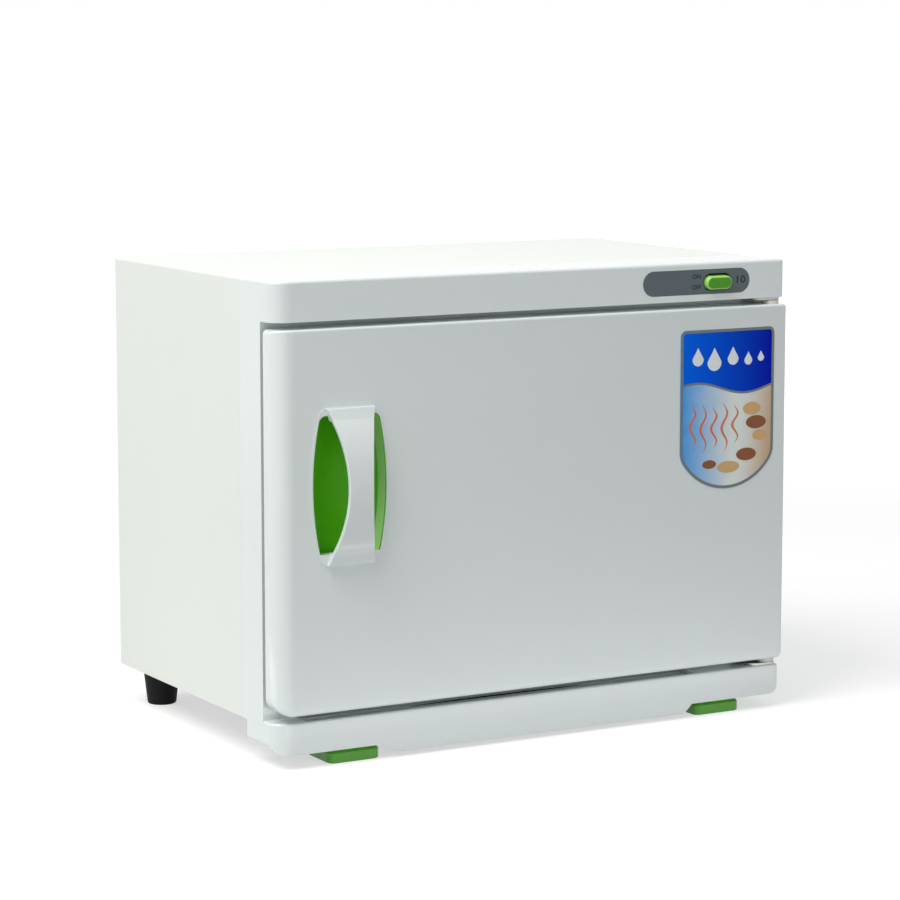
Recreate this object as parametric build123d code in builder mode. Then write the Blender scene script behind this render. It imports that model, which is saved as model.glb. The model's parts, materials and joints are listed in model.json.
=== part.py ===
from build123d import *
import os
from math import sqrt

os.makedirs("parts", exist_ok=True)

# A countertop towel warmer with an ultraviolet lamp: a sheet-metal cabinet with a
# moulded front, one door hinged on the right, wire baskets and a drip tray.
# Units are millimetres. +Z is up, the door faces -Y, and x runs to the viewer's right.
# The origin is on the surface that the cabinet stands on, in the middle of its box.

# Overall size
width = 450.0
height = 360.0
casing_depth = 280.0
half = width / 2
# The front plane of the top band and the plinth. The handle stands 25 in front of it
# and the cable gland ends 5 behind the casing, so the box's middle is at y = 0.
front = -130.0
rear = front + casing_depth

# Wall thicknesses
sheet = 1.0
liner_sheet = 0.8
moulding = 2.5

# Heights of the front, from the floor up
plinth_low = 11.0
plinth_middle_low = 4.0
casing_low = 31.0
plinth_high = 35.0
door_low = 41.0
door_high = 325.0
band_low = 330.0

# Depths behind the front plane
seat = front + 20.0
seat_back = seat + 3.0
seam = front + 55.0
plinth_back = front + 47.0

# Rounding: the left upright corners of the front are soft and the right ones crisp
soft_corner = 14.0
crisp_corner = 2.5
top_round = 2.4

# The mouth of the warm chamber, and the liner behind it
mouth_half = 176.0
mouth_low = 50.0
mouth_high = 314.0
mouth_round = 6.0
lip = 2.5
lip_back = seat_back + 5.0
liner_half = 180.0
liner_low = 46.0
liner_high = 318.0
liner_back = front + 258.0
liner_flange = 11.0

# Screw sizes shared by many joints
screw = 1.5
clearance_hole = 1.6
head = 3.0
head_height = 1.6


def facing(y):
    """Upright plane at depth y, seen from in front: sketch x is x and sketch y is z.

    A positive extrude amount comes forward and a negative one goes to the rear.
    """
    return Plane.XZ.offset(-y)


def rounded_outline(x_low, x_high, y_low, y_high, radii):
    """Rectangle with its own radius at each corner, counter-clockwise from low x and y."""
    corners = ((x_low, y_low), (x_high, y_low), (x_high, y_high), (x_low, y_high))
    with BuildSketch() as outline:
        with Locations(((x_low + x_high) / 2, (y_low + y_high) / 2)):
            Rectangle(x_high - x_low, y_high - y_low)
        for corner, radius in zip(corners, radii):
            if radius > 0:
                fillet(outline.vertices().sort_by_distance(corner)[0], radius)
    return outline.sketch


def even_outline(x_low, x_high, y_low, y_high, radius):
    """Rectangle with the same radius at all four corners."""
    return rounded_outline(x_low, x_high, y_low, y_high, (radius,) * 4)


def eased_outline(x_low, x_high, y_low, y_high, radii):
    """Like rounded_outline, with corner arcs that cut a little deeper than tangent ones.

    Two sets of such corners that cross on one block meet at a clear angle.
    """
    ease = 0.31
    corners = (
        (x_low, y_low, 1, 1),
        (x_high, y_low, -1, 1),
        (x_high, y_high, -1, -1),
        (x_low, y_high, 1, -1),
    )
    with BuildSketch() as outline:
        with Locations(((x_low + x_high) / 2, (y_low + y_high) / 2)):
            Rectangle(x_high - x_low, y_high - y_low)
        for (x, y, inward_x, inward_y), radius in zip(corners, radii):
            along_x = (x + inward_x * radius, y)
            along_y = (x, y + inward_y * radius)
            middle = (x + inward_x * radius * ease, y + inward_y * radius * ease)
            with BuildLine():
                Polyline(along_x, (x, y), along_y)
                ThreePointArc(along_y, middle, along_x)
            make_face(mode=Mode.SUBTRACT)
    return outline.sketch


def save(piece, name):
    """Name a finished piece and write it to its own file."""
    piece.part.label = name
    export_step(piece.part, f"parts/{name}.step")


# Cabinet: painted sheet wrap over the top and both sides, with folded flanges

foot_flange = 40.0
rear_flange = 10.0
rear_flange_front = rear - 2.5
rear_panel_front = rear - 1.5
rear_screw_places = [
    (side * 219.0, level) for side in (-1, 1) for level in (60.0, 190.0, 320.0)
] + [(across, 354.0) for across in (-110.0, 110.0)]
foot_x = 199.0
foot_y = rear - 22.0
foot_places = [(-foot_x, foot_y), (foot_x, foot_y)]
foot_bolt = 2.0

casing_outer = rounded_outline(-half, half, casing_low, height, (0, 0, top_round, top_round))
casing_inner = rounded_outline(
    -half + sheet,
    half - sheet,
    casing_low - sheet,
    height - sheet,
    (0, 0, top_round - sheet, top_round - sheet),
)
with BuildPart() as outer_casing:
    with BuildSketch(facing(seam)):
        add(casing_outer)
        add(casing_inner, mode=Mode.SUBTRACT)
    extrude(amount=-(rear - seam))
    for side in (-1, 1):
        with BuildSketch(Plane.XY.offset(casing_low)):
            with Locations((side * (half - foot_flange / 2), (seam + rear) / 2)):
                Rectangle(foot_flange, rear - seam)
        extrude(amount=sheet)
    with BuildSketch(facing(rear_flange_front)):
        add(casing_outer)
        with Locations((0, (height - rear_flange + casing_low - sheet) / 2)):
            Rectangle(
                width - 2 * (sheet + rear_flange),
                height - sheet - rear_flange - casing_low + sheet,
                mode=Mode.SUBTRACT,
            )
    extrude(amount=-sheet)
    with BuildSketch(facing(rear_flange_front)):
        with Locations(*rear_screw_places):
            Circle(screw)
    extrude(amount=-sheet, mode=Mode.SUBTRACT)
    with BuildSketch(Plane.XY.offset(casing_low)):
        with Locations(*foot_places):
            Circle(foot_bolt)
    extrude(amount=sheet, mode=Mode.SUBTRACT)
save(outer_casing, "outer_casing")

# Cabinet: rear panel with two banks of ventilation slots and the cable opening

gland_x = 170.0
gland_z = 340.0
gland_hole = 6.0
slot_length = 62.0
slot_height = 4.0
slot_pitch = 11.0
rear_outline = rounded_outline(
    -half + sheet,
    half - sheet,
    casing_low + 2 * sheet,
    height - sheet,
    (0, 0, top_round - sheet, top_round - sheet),
)
with BuildPart() as rear_panel:
    with BuildSketch(facing(rear_panel_front)):
        add(rear_outline)
        with Locations(*rear_screw_places):
            Circle(clearance_hole, mode=Mode.SUBTRACT)
        with Locations((gland_x, gland_z)):
            Circle(gland_hole, mode=Mode.SUBTRACT)
        for bank_x in (-80.0, 0.0, 80.0):
            with Locations((bank_x, 80.0), (bank_x, 312.0)):
                with GridLocations(0, slot_pitch, 1, 4):
                    SlotOverall(slot_length, slot_height, mode=Mode.SUBTRACT)
    extrude(amount=-sheet)
save(rear_panel, "rear_panel")

with BuildPart() as rear_panel_screws:
    with BuildSketch(facing(rear_panel_front + sheet)):
        with Locations(*rear_screw_places):
            Circle(head)
    extrude(amount=-head_height)
    fillet(rear_panel_screws.edges().group_by(Axis.Y)[-1], 0.7)
    with BuildSketch(facing(rear_panel_front + sheet)):
        with Locations(*rear_screw_places):
            Circle(screw)
    extrude(amount=5.0)
save(rear_panel_screws, "rear_panel_screws")

# Cabinet: bottom panel

with BuildPart() as bottom_panel:
    with BuildSketch(Plane.XY.offset(casing_low + sheet)):
        with Locations((0, (seam + rear_flange_front) / 2)):
            Rectangle(width - 2 * sheet, rear_flange_front - seam)
        with Locations(*foot_places):
            Circle(foot_bolt, mode=Mode.SUBTRACT)
        with Locations((0, (seam + rear) / 2)):
            with GridLocations(70.0, 90.0, 4, 2):
                SlotOverall(40.0, slot_height, mode=Mode.SUBTRACT)
    extrude(amount=sheet)
save(bottom_panel, "bottom_panel")

# Cabinet: rear rubber feet with their screws and nuts

foot_high = casing_low
with BuildPart() as rear_feet:
    for place in foot_places:
        with BuildSketch(Plane.XY):
            with Locations(place):
                Circle(11.5)
        with BuildSketch(Plane.XY.offset(foot_high)):
            with Locations(place):
                Circle(15.0)
        loft()
    fillet(rear_feet.edges().filter_by(GeomType.CIRCLE).group_by(Axis.Z)[0], 1.5)
    with BuildSketch(Plane.XY):
        with Locations(*foot_places):
            Circle(5.0)
    extrude(amount=15.0, mode=Mode.SUBTRACT)
    with BuildSketch(Plane.XY.offset(15.0)):
        with Locations(*foot_places):
            Circle(foot_bolt)
    extrude(amount=foot_high - 15.0, mode=Mode.SUBTRACT)
save(rear_feet, "rear_feet")

with BuildPart() as foot_screws:
    with BuildSketch(Plane.XY.offset(12.0)):
        with Locations(*foot_places):
            Circle(4.2)
            RegularPolygon(1.6, 6, mode=Mode.SUBTRACT)
    extrude(amount=3.0)
    with BuildSketch(Plane.XY.offset(14.0)):
        with Locations(*foot_places):
            Circle(foot_bolt)
    extrude(amount=24.0)
save(foot_screws, "foot_screws")

with BuildPart() as foot_nuts:
    with BuildSketch(Plane.XY.offset(casing_low + 2 * sheet)):
        with Locations(*foot_places):
            RegularPolygon(3.9, 6)
            Circle(foot_bolt, mode=Mode.SUBTRACT)
    extrude(amount=3.0)
save(foot_nuts, "foot_nuts")

# Cabinet: moulded front frame, made of the top band and the ring behind the door

control_x = 142.2
control_z = 344.9
control_length = 99.5
control_height = 19.5
control_sheet = 0.6
switch_x = 161.8
switch_z = 344.5
switch_hole_length = 27.6
switch_hole_height = 13.2
band_wall = 3.0
lamp_switch_x = -202.0
lamp_switch_z = 255.0
plunger_radius = 3.0
catch_x = -202.0
catch_z = 183.0
catch_screw_places = [(catch_x, catch_z - 16.5), (catch_x, catch_z + 16.5)]
hinge_x = 216.0
hinge_y = front + 6.0
bracket_screw_places = [(204.5, front + 6.0), (204.5, front + 14.0)]
plinth_screw_places = [(across, front + 40.0) for across in (-205.0, -70.0, 70.0, 205.0)]

band_plan = rounded_outline(-half, half, front, seam, (soft_corner, crisp_corner, 0, 0))
band_cavity = rounded_outline(
    -half + moulding,
    half - moulding,
    front + band_wall,
    seam,
    (soft_corner - moulding, 0.5, 0, 0),
)
# A slot with an arched top runs along the foot of the seat, and a pocket beside it
# leaves room for the lower hinge. A black foam strip closes both.
slot_left = -198.0
slot_right = 146.0
slot_low = casing_low + moulding
slot_end_high = slot_low + 0.6
slot_crown = slot_low + 3.0
pocket_left = 192.5
pocket_right = 221.0
pocket_high = door_low + 2.5
strip_thickness = 1.5
with BuildSketch() as slot_outline:
    with BuildLine():
        Polyline(
            (slot_left, slot_end_high),
            (slot_left, slot_low),
            (slot_right, slot_low),
            (slot_right, slot_end_high),
        )
        ThreePointArc(
            (slot_right, slot_end_high),
            ((slot_left + slot_right) / 2, slot_crown),
            (slot_left, slot_end_high),
        )
    make_face()
    with Locations(((pocket_left + pocket_right) / 2, (slot_low + pocket_high) / 2)):
        Rectangle(pocket_right - pocket_left, pocket_high - slot_low)

mouth_outline = even_outline(-mouth_half, mouth_half, mouth_low, mouth_high, mouth_round)
lip_outline = even_outline(
    -mouth_half - lip, mouth_half + lip, mouth_low - lip, mouth_high + lip, mouth_round + lip
)
with BuildPart() as front_frame:
    with BuildSketch(Plane.XY.offset(band_low)):
        add(band_plan)
    extrude(amount=height - band_low)
    top_edges = front_frame.faces().sort_by(Axis.Z)[-1].edges().sort_by(Axis.Y)[:-1]
    fillet(top_edges, top_round)
    with BuildSketch(facing(seat)):
        with Locations((0, (casing_low + band_low) / 2)):
            Rectangle(width, band_low - casing_low)
    extrude(amount=-(seam - seat))
    with BuildSketch(Plane.XY.offset(band_low + moulding)):
        add(band_cavity)
    extrude(amount=height - band_low - 2 * moulding, mode=Mode.SUBTRACT)
    with BuildSketch(facing(seat_back)):
        with Locations((0, (casing_low + band_low) / 2 + moulding)):
            Rectangle(width - 2 * moulding, band_low - casing_low)
    extrude(amount=-(seam - seat_back), mode=Mode.SUBTRACT)
    with BuildSketch(facing(seat_back)):
        add(lip_outline)
    extrude(amount=-(lip_back - seat_back))
    with BuildSketch(facing(seat)):
        add(mouth_outline)
    extrude(amount=-(lip_back - seat), mode=Mode.SUBTRACT)
    with BuildSketch(facing(front)):
        with Locations((control_x, control_z)):
            SlotOverall(control_length, control_height)
    extrude(amount=-control_sheet, mode=Mode.SUBTRACT)
    with BuildSketch(facing(front)):
        with Locations((switch_x, switch_z)):
            SlotOverall(switch_hole_length, switch_hole_height)
    extrude(amount=-band_wall, mode=Mode.SUBTRACT)
    with BuildSketch(facing(seat)):
        with Locations((lamp_switch_x, lamp_switch_z)):
            Circle(plunger_radius + 0.6)
        with Locations(*catch_screw_places):
            Circle(screw)
    extrude(amount=-(seat_back - seat), mode=Mode.SUBTRACT)
    with BuildSketch(facing(seat)):
        add(slot_outline.sketch)
    extrude(amount=-(seat_back - seat), mode=Mode.SUBTRACT)
    with BuildSketch(Plane.XY.offset(band_low)):
        with Locations(*bracket_screw_places):
            Circle(screw)
    extrude(amount=moulding, mode=Mode.SUBTRACT)
    with BuildSketch(Plane.XY.offset(casing_low)):
        with Locations(*plinth_screw_places):
            Circle(screw)
    extrude(amount=moulding, mode=Mode.SUBTRACT)
save(front_frame, "front_frame")

with BuildPart() as foot_strips:
    with BuildSketch(facing(seat_back)):
        add(slot_outline.sketch)
    extrude(amount=strip_thickness)
save(foot_strips, "foot_strips")

# Cabinet: moulded plinth under the door, with a lower middle between two slants

plinth_end_round = 9.0
slant_left_high = -137.5
slant_left_low = -122.4
slant_right_low = 135.0
slant_right_high = 142.0
pad_places = [(-157.0, front + 24.0), (169.2, front + 24.0)]


def plinth_outline(high, inset=0.0):
    """Front view of the plinth up to a height, drawn in from its walls by an inset."""
    with BuildSketch() as outline:
        with BuildLine():
            Polyline(
                (-half, high),
                (-half, plinth_low),
                (slant_left_high, plinth_low),
                (slant_left_low, plinth_middle_low),
                (slant_right_low, plinth_middle_low),
                (slant_right_high, plinth_low),
                (half, plinth_low),
                (half, high),
                close=True,
            )
        make_face()
        for corner in ((-half, plinth_low), (half, plinth_low)):
            fillet(outline.vertices().sort_by_distance(corner)[0], plinth_end_round)
        if inset > 0:
            offset(amount=-inset, mode=Mode.REPLACE)
    return outline.sketch


front_outline = plinth_outline(plinth_high)
under_outline = plinth_outline(casing_low)
front_cavity = plinth_outline(plinth_high, moulding)
under_cavity = plinth_outline(casing_low, moulding)
plinth_plan = rounded_outline(
    -half, half, front, plinth_back, (soft_corner, crisp_corner, 0, 0)
)
plinth_cavity_plan = rounded_outline(
    -half + moulding,
    half - moulding,
    front + moulding,
    plinth_back,
    (soft_corner - moulding, 0.5, 0, 0),
)
trough_outline = even_outline(slot_left, slot_right, front + moulding, seat, 2.0)
with BuildPart() as plinth_cavity:
    with BuildSketch(facing(seat - moulding)):
        add(front_cavity)
    extrude(amount=seat - front)
    with BuildSketch(facing(seat - moulding)):
        add(under_cavity)
    extrude(amount=-(plinth_back - seat + moulding))
    with BuildSketch(Plane.XY):
        add(plinth_cavity_plan)
    extrude(amount=plinth_high, mode=Mode.INTERSECT)

with BuildPart() as base_plinth:
    with BuildSketch(facing(seat)):
        add(front_outline)
    extrude(amount=seat - front)
    with BuildSketch(facing(seat)):
        add(under_outline)
    extrude(amount=-(plinth_back - seat))
    with BuildSketch(Plane.XY):
        add(plinth_plan)
    extrude(amount=plinth_high, mode=Mode.INTERSECT)
    front_top = base_plinth.faces().sort_by(Axis.Z)[-1].edges().sort_by(Axis.Y)[0]
    fillet(front_top, 1.5)
    add(plinth_cavity.part, mode=Mode.SUBTRACT)
    with BuildSketch(Plane.XY.offset(plinth_high - moulding)):
        add(trough_outline)
        with Locations(*bracket_screw_places):
            Circle(screw)
    extrude(amount=moulding, mode=Mode.SUBTRACT)
    with BuildSketch(Plane.XY.offset(casing_low - moulding)):
        with Locations(*plinth_screw_places):
            Circle(clearance_hole)
    extrude(amount=moulding, mode=Mode.SUBTRACT)
    with BuildSketch(Plane.XY.offset(plinth_low)):
        with Locations(*pad_places):
            Circle(screw)
    extrude(amount=moulding, mode=Mode.SUBTRACT)
save(base_plinth, "base_plinth")

# Cabinet: green pads under the plinth, with their screws

pad_half_width = 21.5
pad_front = front + 3.5
pad_back = front + 43.0
pad_round = 6.0
pad_bevel = 3.5
pad_screw_seat = 3.0
with BuildPart() as front_pads:
    for place in pad_places:
        pad_outline = even_outline(
            place[0] - pad_half_width, place[0] + pad_half_width, pad_front, pad_back, pad_round
        )
        with BuildSketch(Plane.XY):
            add(pad_outline)
        extrude(amount=plinth_low)
    chamfer(front_pads.edges().group_by(Axis.Z)[-1], pad_bevel)
    fillet(front_pads.edges().group_by(Axis.Z)[0], 1.0)
    with BuildSketch(facing(front)):
        add(under_outline)
    extrude(amount=-(plinth_back - front), mode=Mode.SUBTRACT)
    with BuildSketch(Plane.XY):
        with Locations(*pad_places):
            Circle(head + 0.6)
    extrude(amount=pad_screw_seat, mode=Mode.SUBTRACT)
    with BuildSketch(Plane.XY.offset(pad_screw_seat)):
        with Locations(*pad_places):
            Circle(clearance_hole)
    extrude(amount=plinth_low - pad_screw_seat, mode=Mode.SUBTRACT)
save(front_pads, "front_pads")

with BuildPart() as pad_screws:
    with BuildSketch(Plane.XY.offset(pad_screw_seat - head_height)):
        with Locations(*pad_places):
            Circle(head)
    extrude(amount=head_height)
    with BuildSketch(Plane.XY.offset(pad_screw_seat - head_height)):
        with Locations(*pad_places):
            Circle(screw)
    extrude(amount=14.0)
save(pad_screws, "pad_screws")

with BuildPart() as plinth_screws:
    with BuildSketch(Plane.XY.offset(casing_low - moulding - head_height)):
        with Locations(*plinth_screw_places):
            Circle(head)
    extrude(amount=head_height)
    with BuildSketch(Plane.XY.offset(casing_low - moulding)):
        with Locations(*plinth_screw_places):
            Circle(screw)
    extrude(amount=2 * moulding - 0.2)
save(plinth_screws, "plinth_screws")

# Cabinet: power switch in the top band

switch_axis_y = front + 5.0
switch_body_back = front + 23.0
trunnion_radius = 1.5
trunnion_half = 15.7
rocker_length = 24.2
rocker_height = 10.6
rocker_edge_round = 2.0
rocker_proud = 3.6
rocker_tilt = 6.0

with BuildPart() as control_plate:
    with BuildSketch(facing(front + control_sheet)):
        with Locations((control_x, control_z)):
            SlotOverall(control_length, control_height)
        with Locations((switch_x, switch_z)):
            SlotOverall(switch_hole_length, switch_hole_height, mode=Mode.SUBTRACT)
    extrude(amount=control_sheet)
save(control_plate, "control_plate")

with BuildPart() as switch_body:
    with BuildSketch(facing(switch_body_back)):
        with Locations((switch_x, switch_z)):
            Rectangle(37.0, 20.0)
    extrude(amount=switch_body_back - front - band_wall)
    with BuildSketch(facing(front + band_wall)):
        with Locations((switch_x, switch_z)):
            SlotOverall(switch_hole_length, switch_hole_height)
    extrude(amount=-9.0, mode=Mode.SUBTRACT)
    with Locations((switch_x, switch_axis_y, switch_z)):
        Cylinder(
            trunnion_radius + 0.06,
            2 * trunnion_half + 1.0,
            rotation=(0, 90, 0),
            mode=Mode.SUBTRACT,
        )
save(switch_body, "switch_body")

# The rocker rests at OFF, with its lower half pressed in.
rocker_plane = Plane(
    origin=(switch_x, switch_axis_y, switch_z), x_dir=(1, 0, 0), z_dir=(0, -1, 0)
).rotated((rocker_tilt, 0, 0))
with BuildPart() as switch_rocker:
    with BuildSketch(rocker_plane.offset(-2.0)):
        SlotOverall(rocker_length, rocker_height)
    extrude(amount=2.0 + switch_axis_y - front + rocker_proud)
    fillet(switch_rocker.faces().sort_by(Axis.Y)[0].edges(), rocker_edge_round)
    with Locations((switch_x, switch_axis_y, switch_z)):
        Cylinder(trunnion_radius, 2 * trunnion_half, rotation=(0, 90, 0))
save(switch_rocker, "switch_rocker")

with BuildPart() as switch_terminals:
    with BuildSketch(facing(switch_body_back)):
        with Locations((switch_x, switch_z)):
            with GridLocations(11.0, 0, 3, 1):
                Rectangle(0.8, 6.3)
    extrude(amount=-8.0)
save(switch_terminals, "switch_terminals")

# Cabinet: lamp switch, whose plunger the closed door holds in

plunger_bore_back = front + 40.0
plunger_tip = front + 14.4
with BuildPart() as door_switch_body:
    with BuildSketch(facing(seat_back)):
        with Locations((lamp_switch_x, lamp_switch_z)):
            Rectangle(16.0, 20.0)
    extrude(amount=-20.0)
    with BuildSketch(facing(seat_back)):
        with Locations((lamp_switch_x, lamp_switch_z)):
            Circle(plunger_radius + 0.08)
    extrude(amount=-(plunger_bore_back - seat_back), mode=Mode.SUBTRACT)
save(door_switch_body, "door_switch_body")

with BuildPart() as door_switch_plunger:
    with BuildSketch(facing(front + 34.0)):
        with Locations((lamp_switch_x, lamp_switch_z)):
            Circle(plunger_radius)
    extrude(amount=front + 34.0 - plunger_tip)
    fillet(door_switch_plunger.edges().group_by(Axis.Y)[0], 1.2)
save(door_switch_plunger, "door_switch_plunger")

# Cabinet: magnetic catch on the seat face

catch_front = front + 15.3
with BuildPart() as magnet_catch:
    with BuildSketch(facing(seat)):
        with Locations((catch_x, catch_z)):
            RectangleRounded(13.0, 42.0, 2.0)
            Rectangle(7.0, 24.0, mode=Mode.SUBTRACT)
        with Locations(*catch_screw_places):
            Circle(clearance_hole, mode=Mode.SUBTRACT)
    extrude(amount=seat - catch_front)
save(magnet_catch, "magnet_catch")

with BuildPart() as catch_magnet:
    with BuildSketch(facing(seat)):
        with Locations((catch_x, catch_z)):
            Rectangle(7.0, 24.0)
    extrude(amount=seat - catch_front + 0.4)
save(catch_magnet, "catch_magnet")

with BuildPart() as catch_screws:
    with BuildSketch(facing(catch_front)):
        with Locations(*catch_screw_places):
            Circle(2.2)
    extrude(amount=0.4)
    with BuildSketch(facing(catch_front)):
        with Locations(*catch_screw_places):
            Circle(screw)
    extrude(amount=-11.0)
save(catch_screws, "catch_screws")

# Cabinet: hinge brackets and pins

bracket_sheet = 2.0
upper_bracket_low = band_low - bracket_sheet
pin_radius = 3.0
pin_engagement = 13.0
bracket_soft_corner = 8.0
bracket_outline = rounded_outline(
    199.0, 222.5, front + 0.5, seat - 0.5, (bracket_soft_corner, 3.0, 3.0, bracket_soft_corner)
)
with BuildPart() as upper_hinge_bracket:
    with BuildSketch(Plane.XY.offset(upper_bracket_low)):
        add(bracket_outline)
        with Locations((hinge_x, hinge_y)):
            Circle(pin_radius, mode=Mode.SUBTRACT)
    extrude(amount=bracket_sheet)
    with BuildSketch(Plane.XY.offset(upper_bracket_low)):
        with Locations(*bracket_screw_places):
            Circle(screw)
    extrude(amount=bracket_sheet, mode=Mode.SUBTRACT)
    with BuildSketch(Plane.XY.offset(upper_bracket_low)):
        with Locations(*bracket_screw_places):
            Circle(head)
    extrude(amount=head_height, mode=Mode.SUBTRACT)
save(upper_hinge_bracket, "upper_hinge_bracket")

with BuildPart() as lower_hinge_bracket:
    with BuildSketch(Plane.XY.offset(plinth_high)):
        add(bracket_outline)
        with Locations((hinge_x, hinge_y)):
            Circle(pin_radius, mode=Mode.SUBTRACT)
    extrude(amount=bracket_sheet)
    with BuildSketch(Plane.XY.offset(plinth_high)):
        with Locations(*bracket_screw_places):
            Circle(screw)
    extrude(amount=bracket_sheet, mode=Mode.SUBTRACT)
    with BuildSketch(Plane.XY.offset(plinth_high + bracket_sheet - head_height)):
        with Locations(*bracket_screw_places):
            Circle(head)
    extrude(amount=head_height, mode=Mode.SUBTRACT)
save(lower_hinge_bracket, "lower_hinge_bracket")

with BuildPart() as hinge_pins:
    for low, high in (
        (door_high - pin_engagement + 2.0, band_low),
        (plinth_high, door_low + pin_engagement - 2.0),
    ):
        with BuildSketch(Plane.XY.offset(low)):
            with Locations((hinge_x, hinge_y)):
                Circle(pin_radius)
        extrude(amount=high - low)
save(hinge_pins, "hinge_pins")

with BuildPart() as bracket_screws:
    with BuildSketch(Plane.XY.offset(upper_bracket_low)):
        with Locations(*bracket_screw_places):
            Circle(head)
    extrude(amount=head_height)
    with BuildSketch(Plane.XY.offset(upper_bracket_low)):
        with Locations(*bracket_screw_places):
            Circle(screw)
    extrude(amount=8.0)
    with BuildSketch(Plane.XY.offset(plinth_high + bracket_sheet - head_height)):
        with Locations(*bracket_screw_places):
            Circle(head)
    extrude(amount=head_height)
    with BuildSketch(Plane.XY.offset(plinth_high - moulding)):
        with Locations(*bracket_screw_places):
            Circle(screw)
    extrude(amount=moulding + bracket_sheet - head_height)
save(bracket_screws, "bracket_screws")

# Door

door_front = front - 5.0
door_back = front + 15.5
panel_front = front + 12.5
panel_back = front + 14.0
edge_round = 2.0
bush_radius = 5.0
boss_radius = 7.0
boss_depth = 14.0
handle_x = -165.4
handle_z = 209.0
cup_half_width = 31.0
cup_half_height = 53.2
cup_corner = 6.5
cup_wall = 1.5
cup_gap = 0.2
cup_flange = 8.0
side_bow = 230.0
handle_screw_places = [
    (handle_x + across, handle_z + up) for across in (-12.0, 12.0) for up in (-56.0, 56.0)
]
post_places = [
    (-206.0, 80.0),
    (-206.0, 286.0),
    (198.0, 80.0),
    (198.0, 286.0),
    (0.0, 60.0),
    (0.0, 306.0),
]
post_radius = 4.0
notch_x = 206.0
notch_height = 20.0



def barrel_outline(half_width, half_height, corner):
    """Front view of an upright barrel round the handle's centre: flat ends, bowed sides."""
    narrowing = side_bow - sqrt(side_bow**2 - half_height**2)
    left, right = handle_x - half_width, handle_x + half_width
    low, high = handle_z - half_height, handle_z + half_height
    with BuildSketch() as outline:
        with BuildLine():
            ThreePointArc((left + narrowing, high), (left, handle_z), (left + narrowing, low))
            Line((left + narrowing, low), (right - narrowing, low))
            ThreePointArc((right - narrowing, low), (right, handle_z), (right - narrowing, high))
            Line((right - narrowing, high), (left + narrowing, high))
        make_face()
        fillet(outline.vertices(), corner)
    return outline.sketch


def cup_outline(grow):
    """The barrel of the handle's cup, grown all round, or shrunk where grow is negative."""
    return barrel_outline(cup_half_width + grow, cup_half_height + grow, cup_corner + grow)


door_outline = eased_outline(-half, half, door_low, door_high, (12.0, 5.0, 3.0, 4.0))
door_plan = rounded_outline(
    -half, half, door_front, door_back, (soft_corner, crisp_corner, 0, 0)
)
cavity_outline = eased_outline(
    -half + moulding,
    half - moulding,
    door_low + moulding,
    door_high - moulding,
    (9.5, 2.5, 0.5, 1.5),
)
cavity_plan = rounded_outline(
    -half + moulding,
    half - moulding,
    door_front + moulding,
    door_back,
    (soft_corner - moulding, 0.5, 0, 0),
)
with BuildPart() as door_cavity:
    with BuildSketch(facing(door_back)):
        add(cavity_outline)
    extrude(amount=door_back - door_front - moulding)
    with BuildSketch(Plane.XY.offset(door_low)):
        add(cavity_plan)
    extrude(amount=door_high - door_low, mode=Mode.INTERSECT)

with BuildPart() as door_shell:
    with BuildSketch(facing(door_back)):
        add(door_outline)
    extrude(amount=door_back - door_front)
    with BuildSketch(Plane.XY.offset(door_low)):
        add(door_plan)
    extrude(amount=door_high - door_low, mode=Mode.INTERSECT)
    for end in (0, -1):
        end_face = door_shell.faces().sort_by(Axis.Z)[end]
        fillet(end_face.edges().sort_by(Axis.Y)[0], edge_round)
    add(door_cavity.part, mode=Mode.SUBTRACT)
    for boss_low in (door_low, door_high - boss_depth):
        with BuildSketch(Plane.XY.offset(boss_low)):
            with Locations((hinge_x, hinge_y)):
                Circle(boss_radius)
        extrude(amount=boss_depth)
    for pocket_low in (door_low, door_high - pin_engagement):
        with BuildSketch(Plane.XY.offset(pocket_low)):
            with Locations((hinge_x, hinge_y)):
                Circle(bush_radius)
        extrude(amount=pin_engagement, mode=Mode.SUBTRACT)
    with BuildSketch(facing(panel_front)):
        with Locations(*post_places):
            Circle(post_radius)
            Circle(screw, mode=Mode.SUBTRACT)
    extrude(amount=panel_front - door_front - moulding)
    with BuildSketch(facing(door_front)):
        add(cup_outline(cup_gap))
        with Locations(*handle_screw_places):
            Circle(clearance_hole)
    extrude(amount=-moulding, mode=Mode.SUBTRACT)
save(door_shell, "door_shell")

with BuildPart() as door_insulation:
    with BuildSketch(facing(panel_front)):
        add(cavity_outline)
        offset(amount=-0.5, mode=Mode.REPLACE)
        for level in (door_low, door_high):
            with Locations((half, level)):
                Rectangle(2 * (half - notch_x), 2 * notch_height, mode=Mode.SUBTRACT)
        add(cup_outline(cup_flange + 1.5), mode=Mode.SUBTRACT)
        with Locations(*post_places):
            Circle(post_radius, mode=Mode.SUBTRACT)
    extrude(amount=panel_front - door_front - moulding)
    with BuildSketch(Plane.XY.offset(door_low)):
        add(cavity_plan)
    extrude(amount=door_high - door_low, mode=Mode.INTERSECT)
save(door_insulation, "door_insulation")

field_outline = even_outline(-160.0, 160.0, 78.0, 288.0, 10.0)
with BuildPart() as door_inner_panel:
    with BuildSketch(facing(panel_back)):
        add(cavity_outline)
        offset(amount=-0.3, mode=Mode.REPLACE)
        for level in (door_low, door_high):
            with Locations((half, level)):
                Rectangle(2 * (half - notch_x), 2 * notch_height, mode=Mode.SUBTRACT)
        with Locations(*post_places):
            Circle(clearance_hole, mode=Mode.SUBTRACT)
    extrude(amount=panel_back - panel_front)
    with BuildSketch(facing(panel_back)):
        add(field_outline)
    extrude(amount=-1.2)
    fillet(door_inner_panel.edges().group_by(Axis.Y)[-1], 0.8)
save(door_inner_panel, "door_inner_panel")

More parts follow.
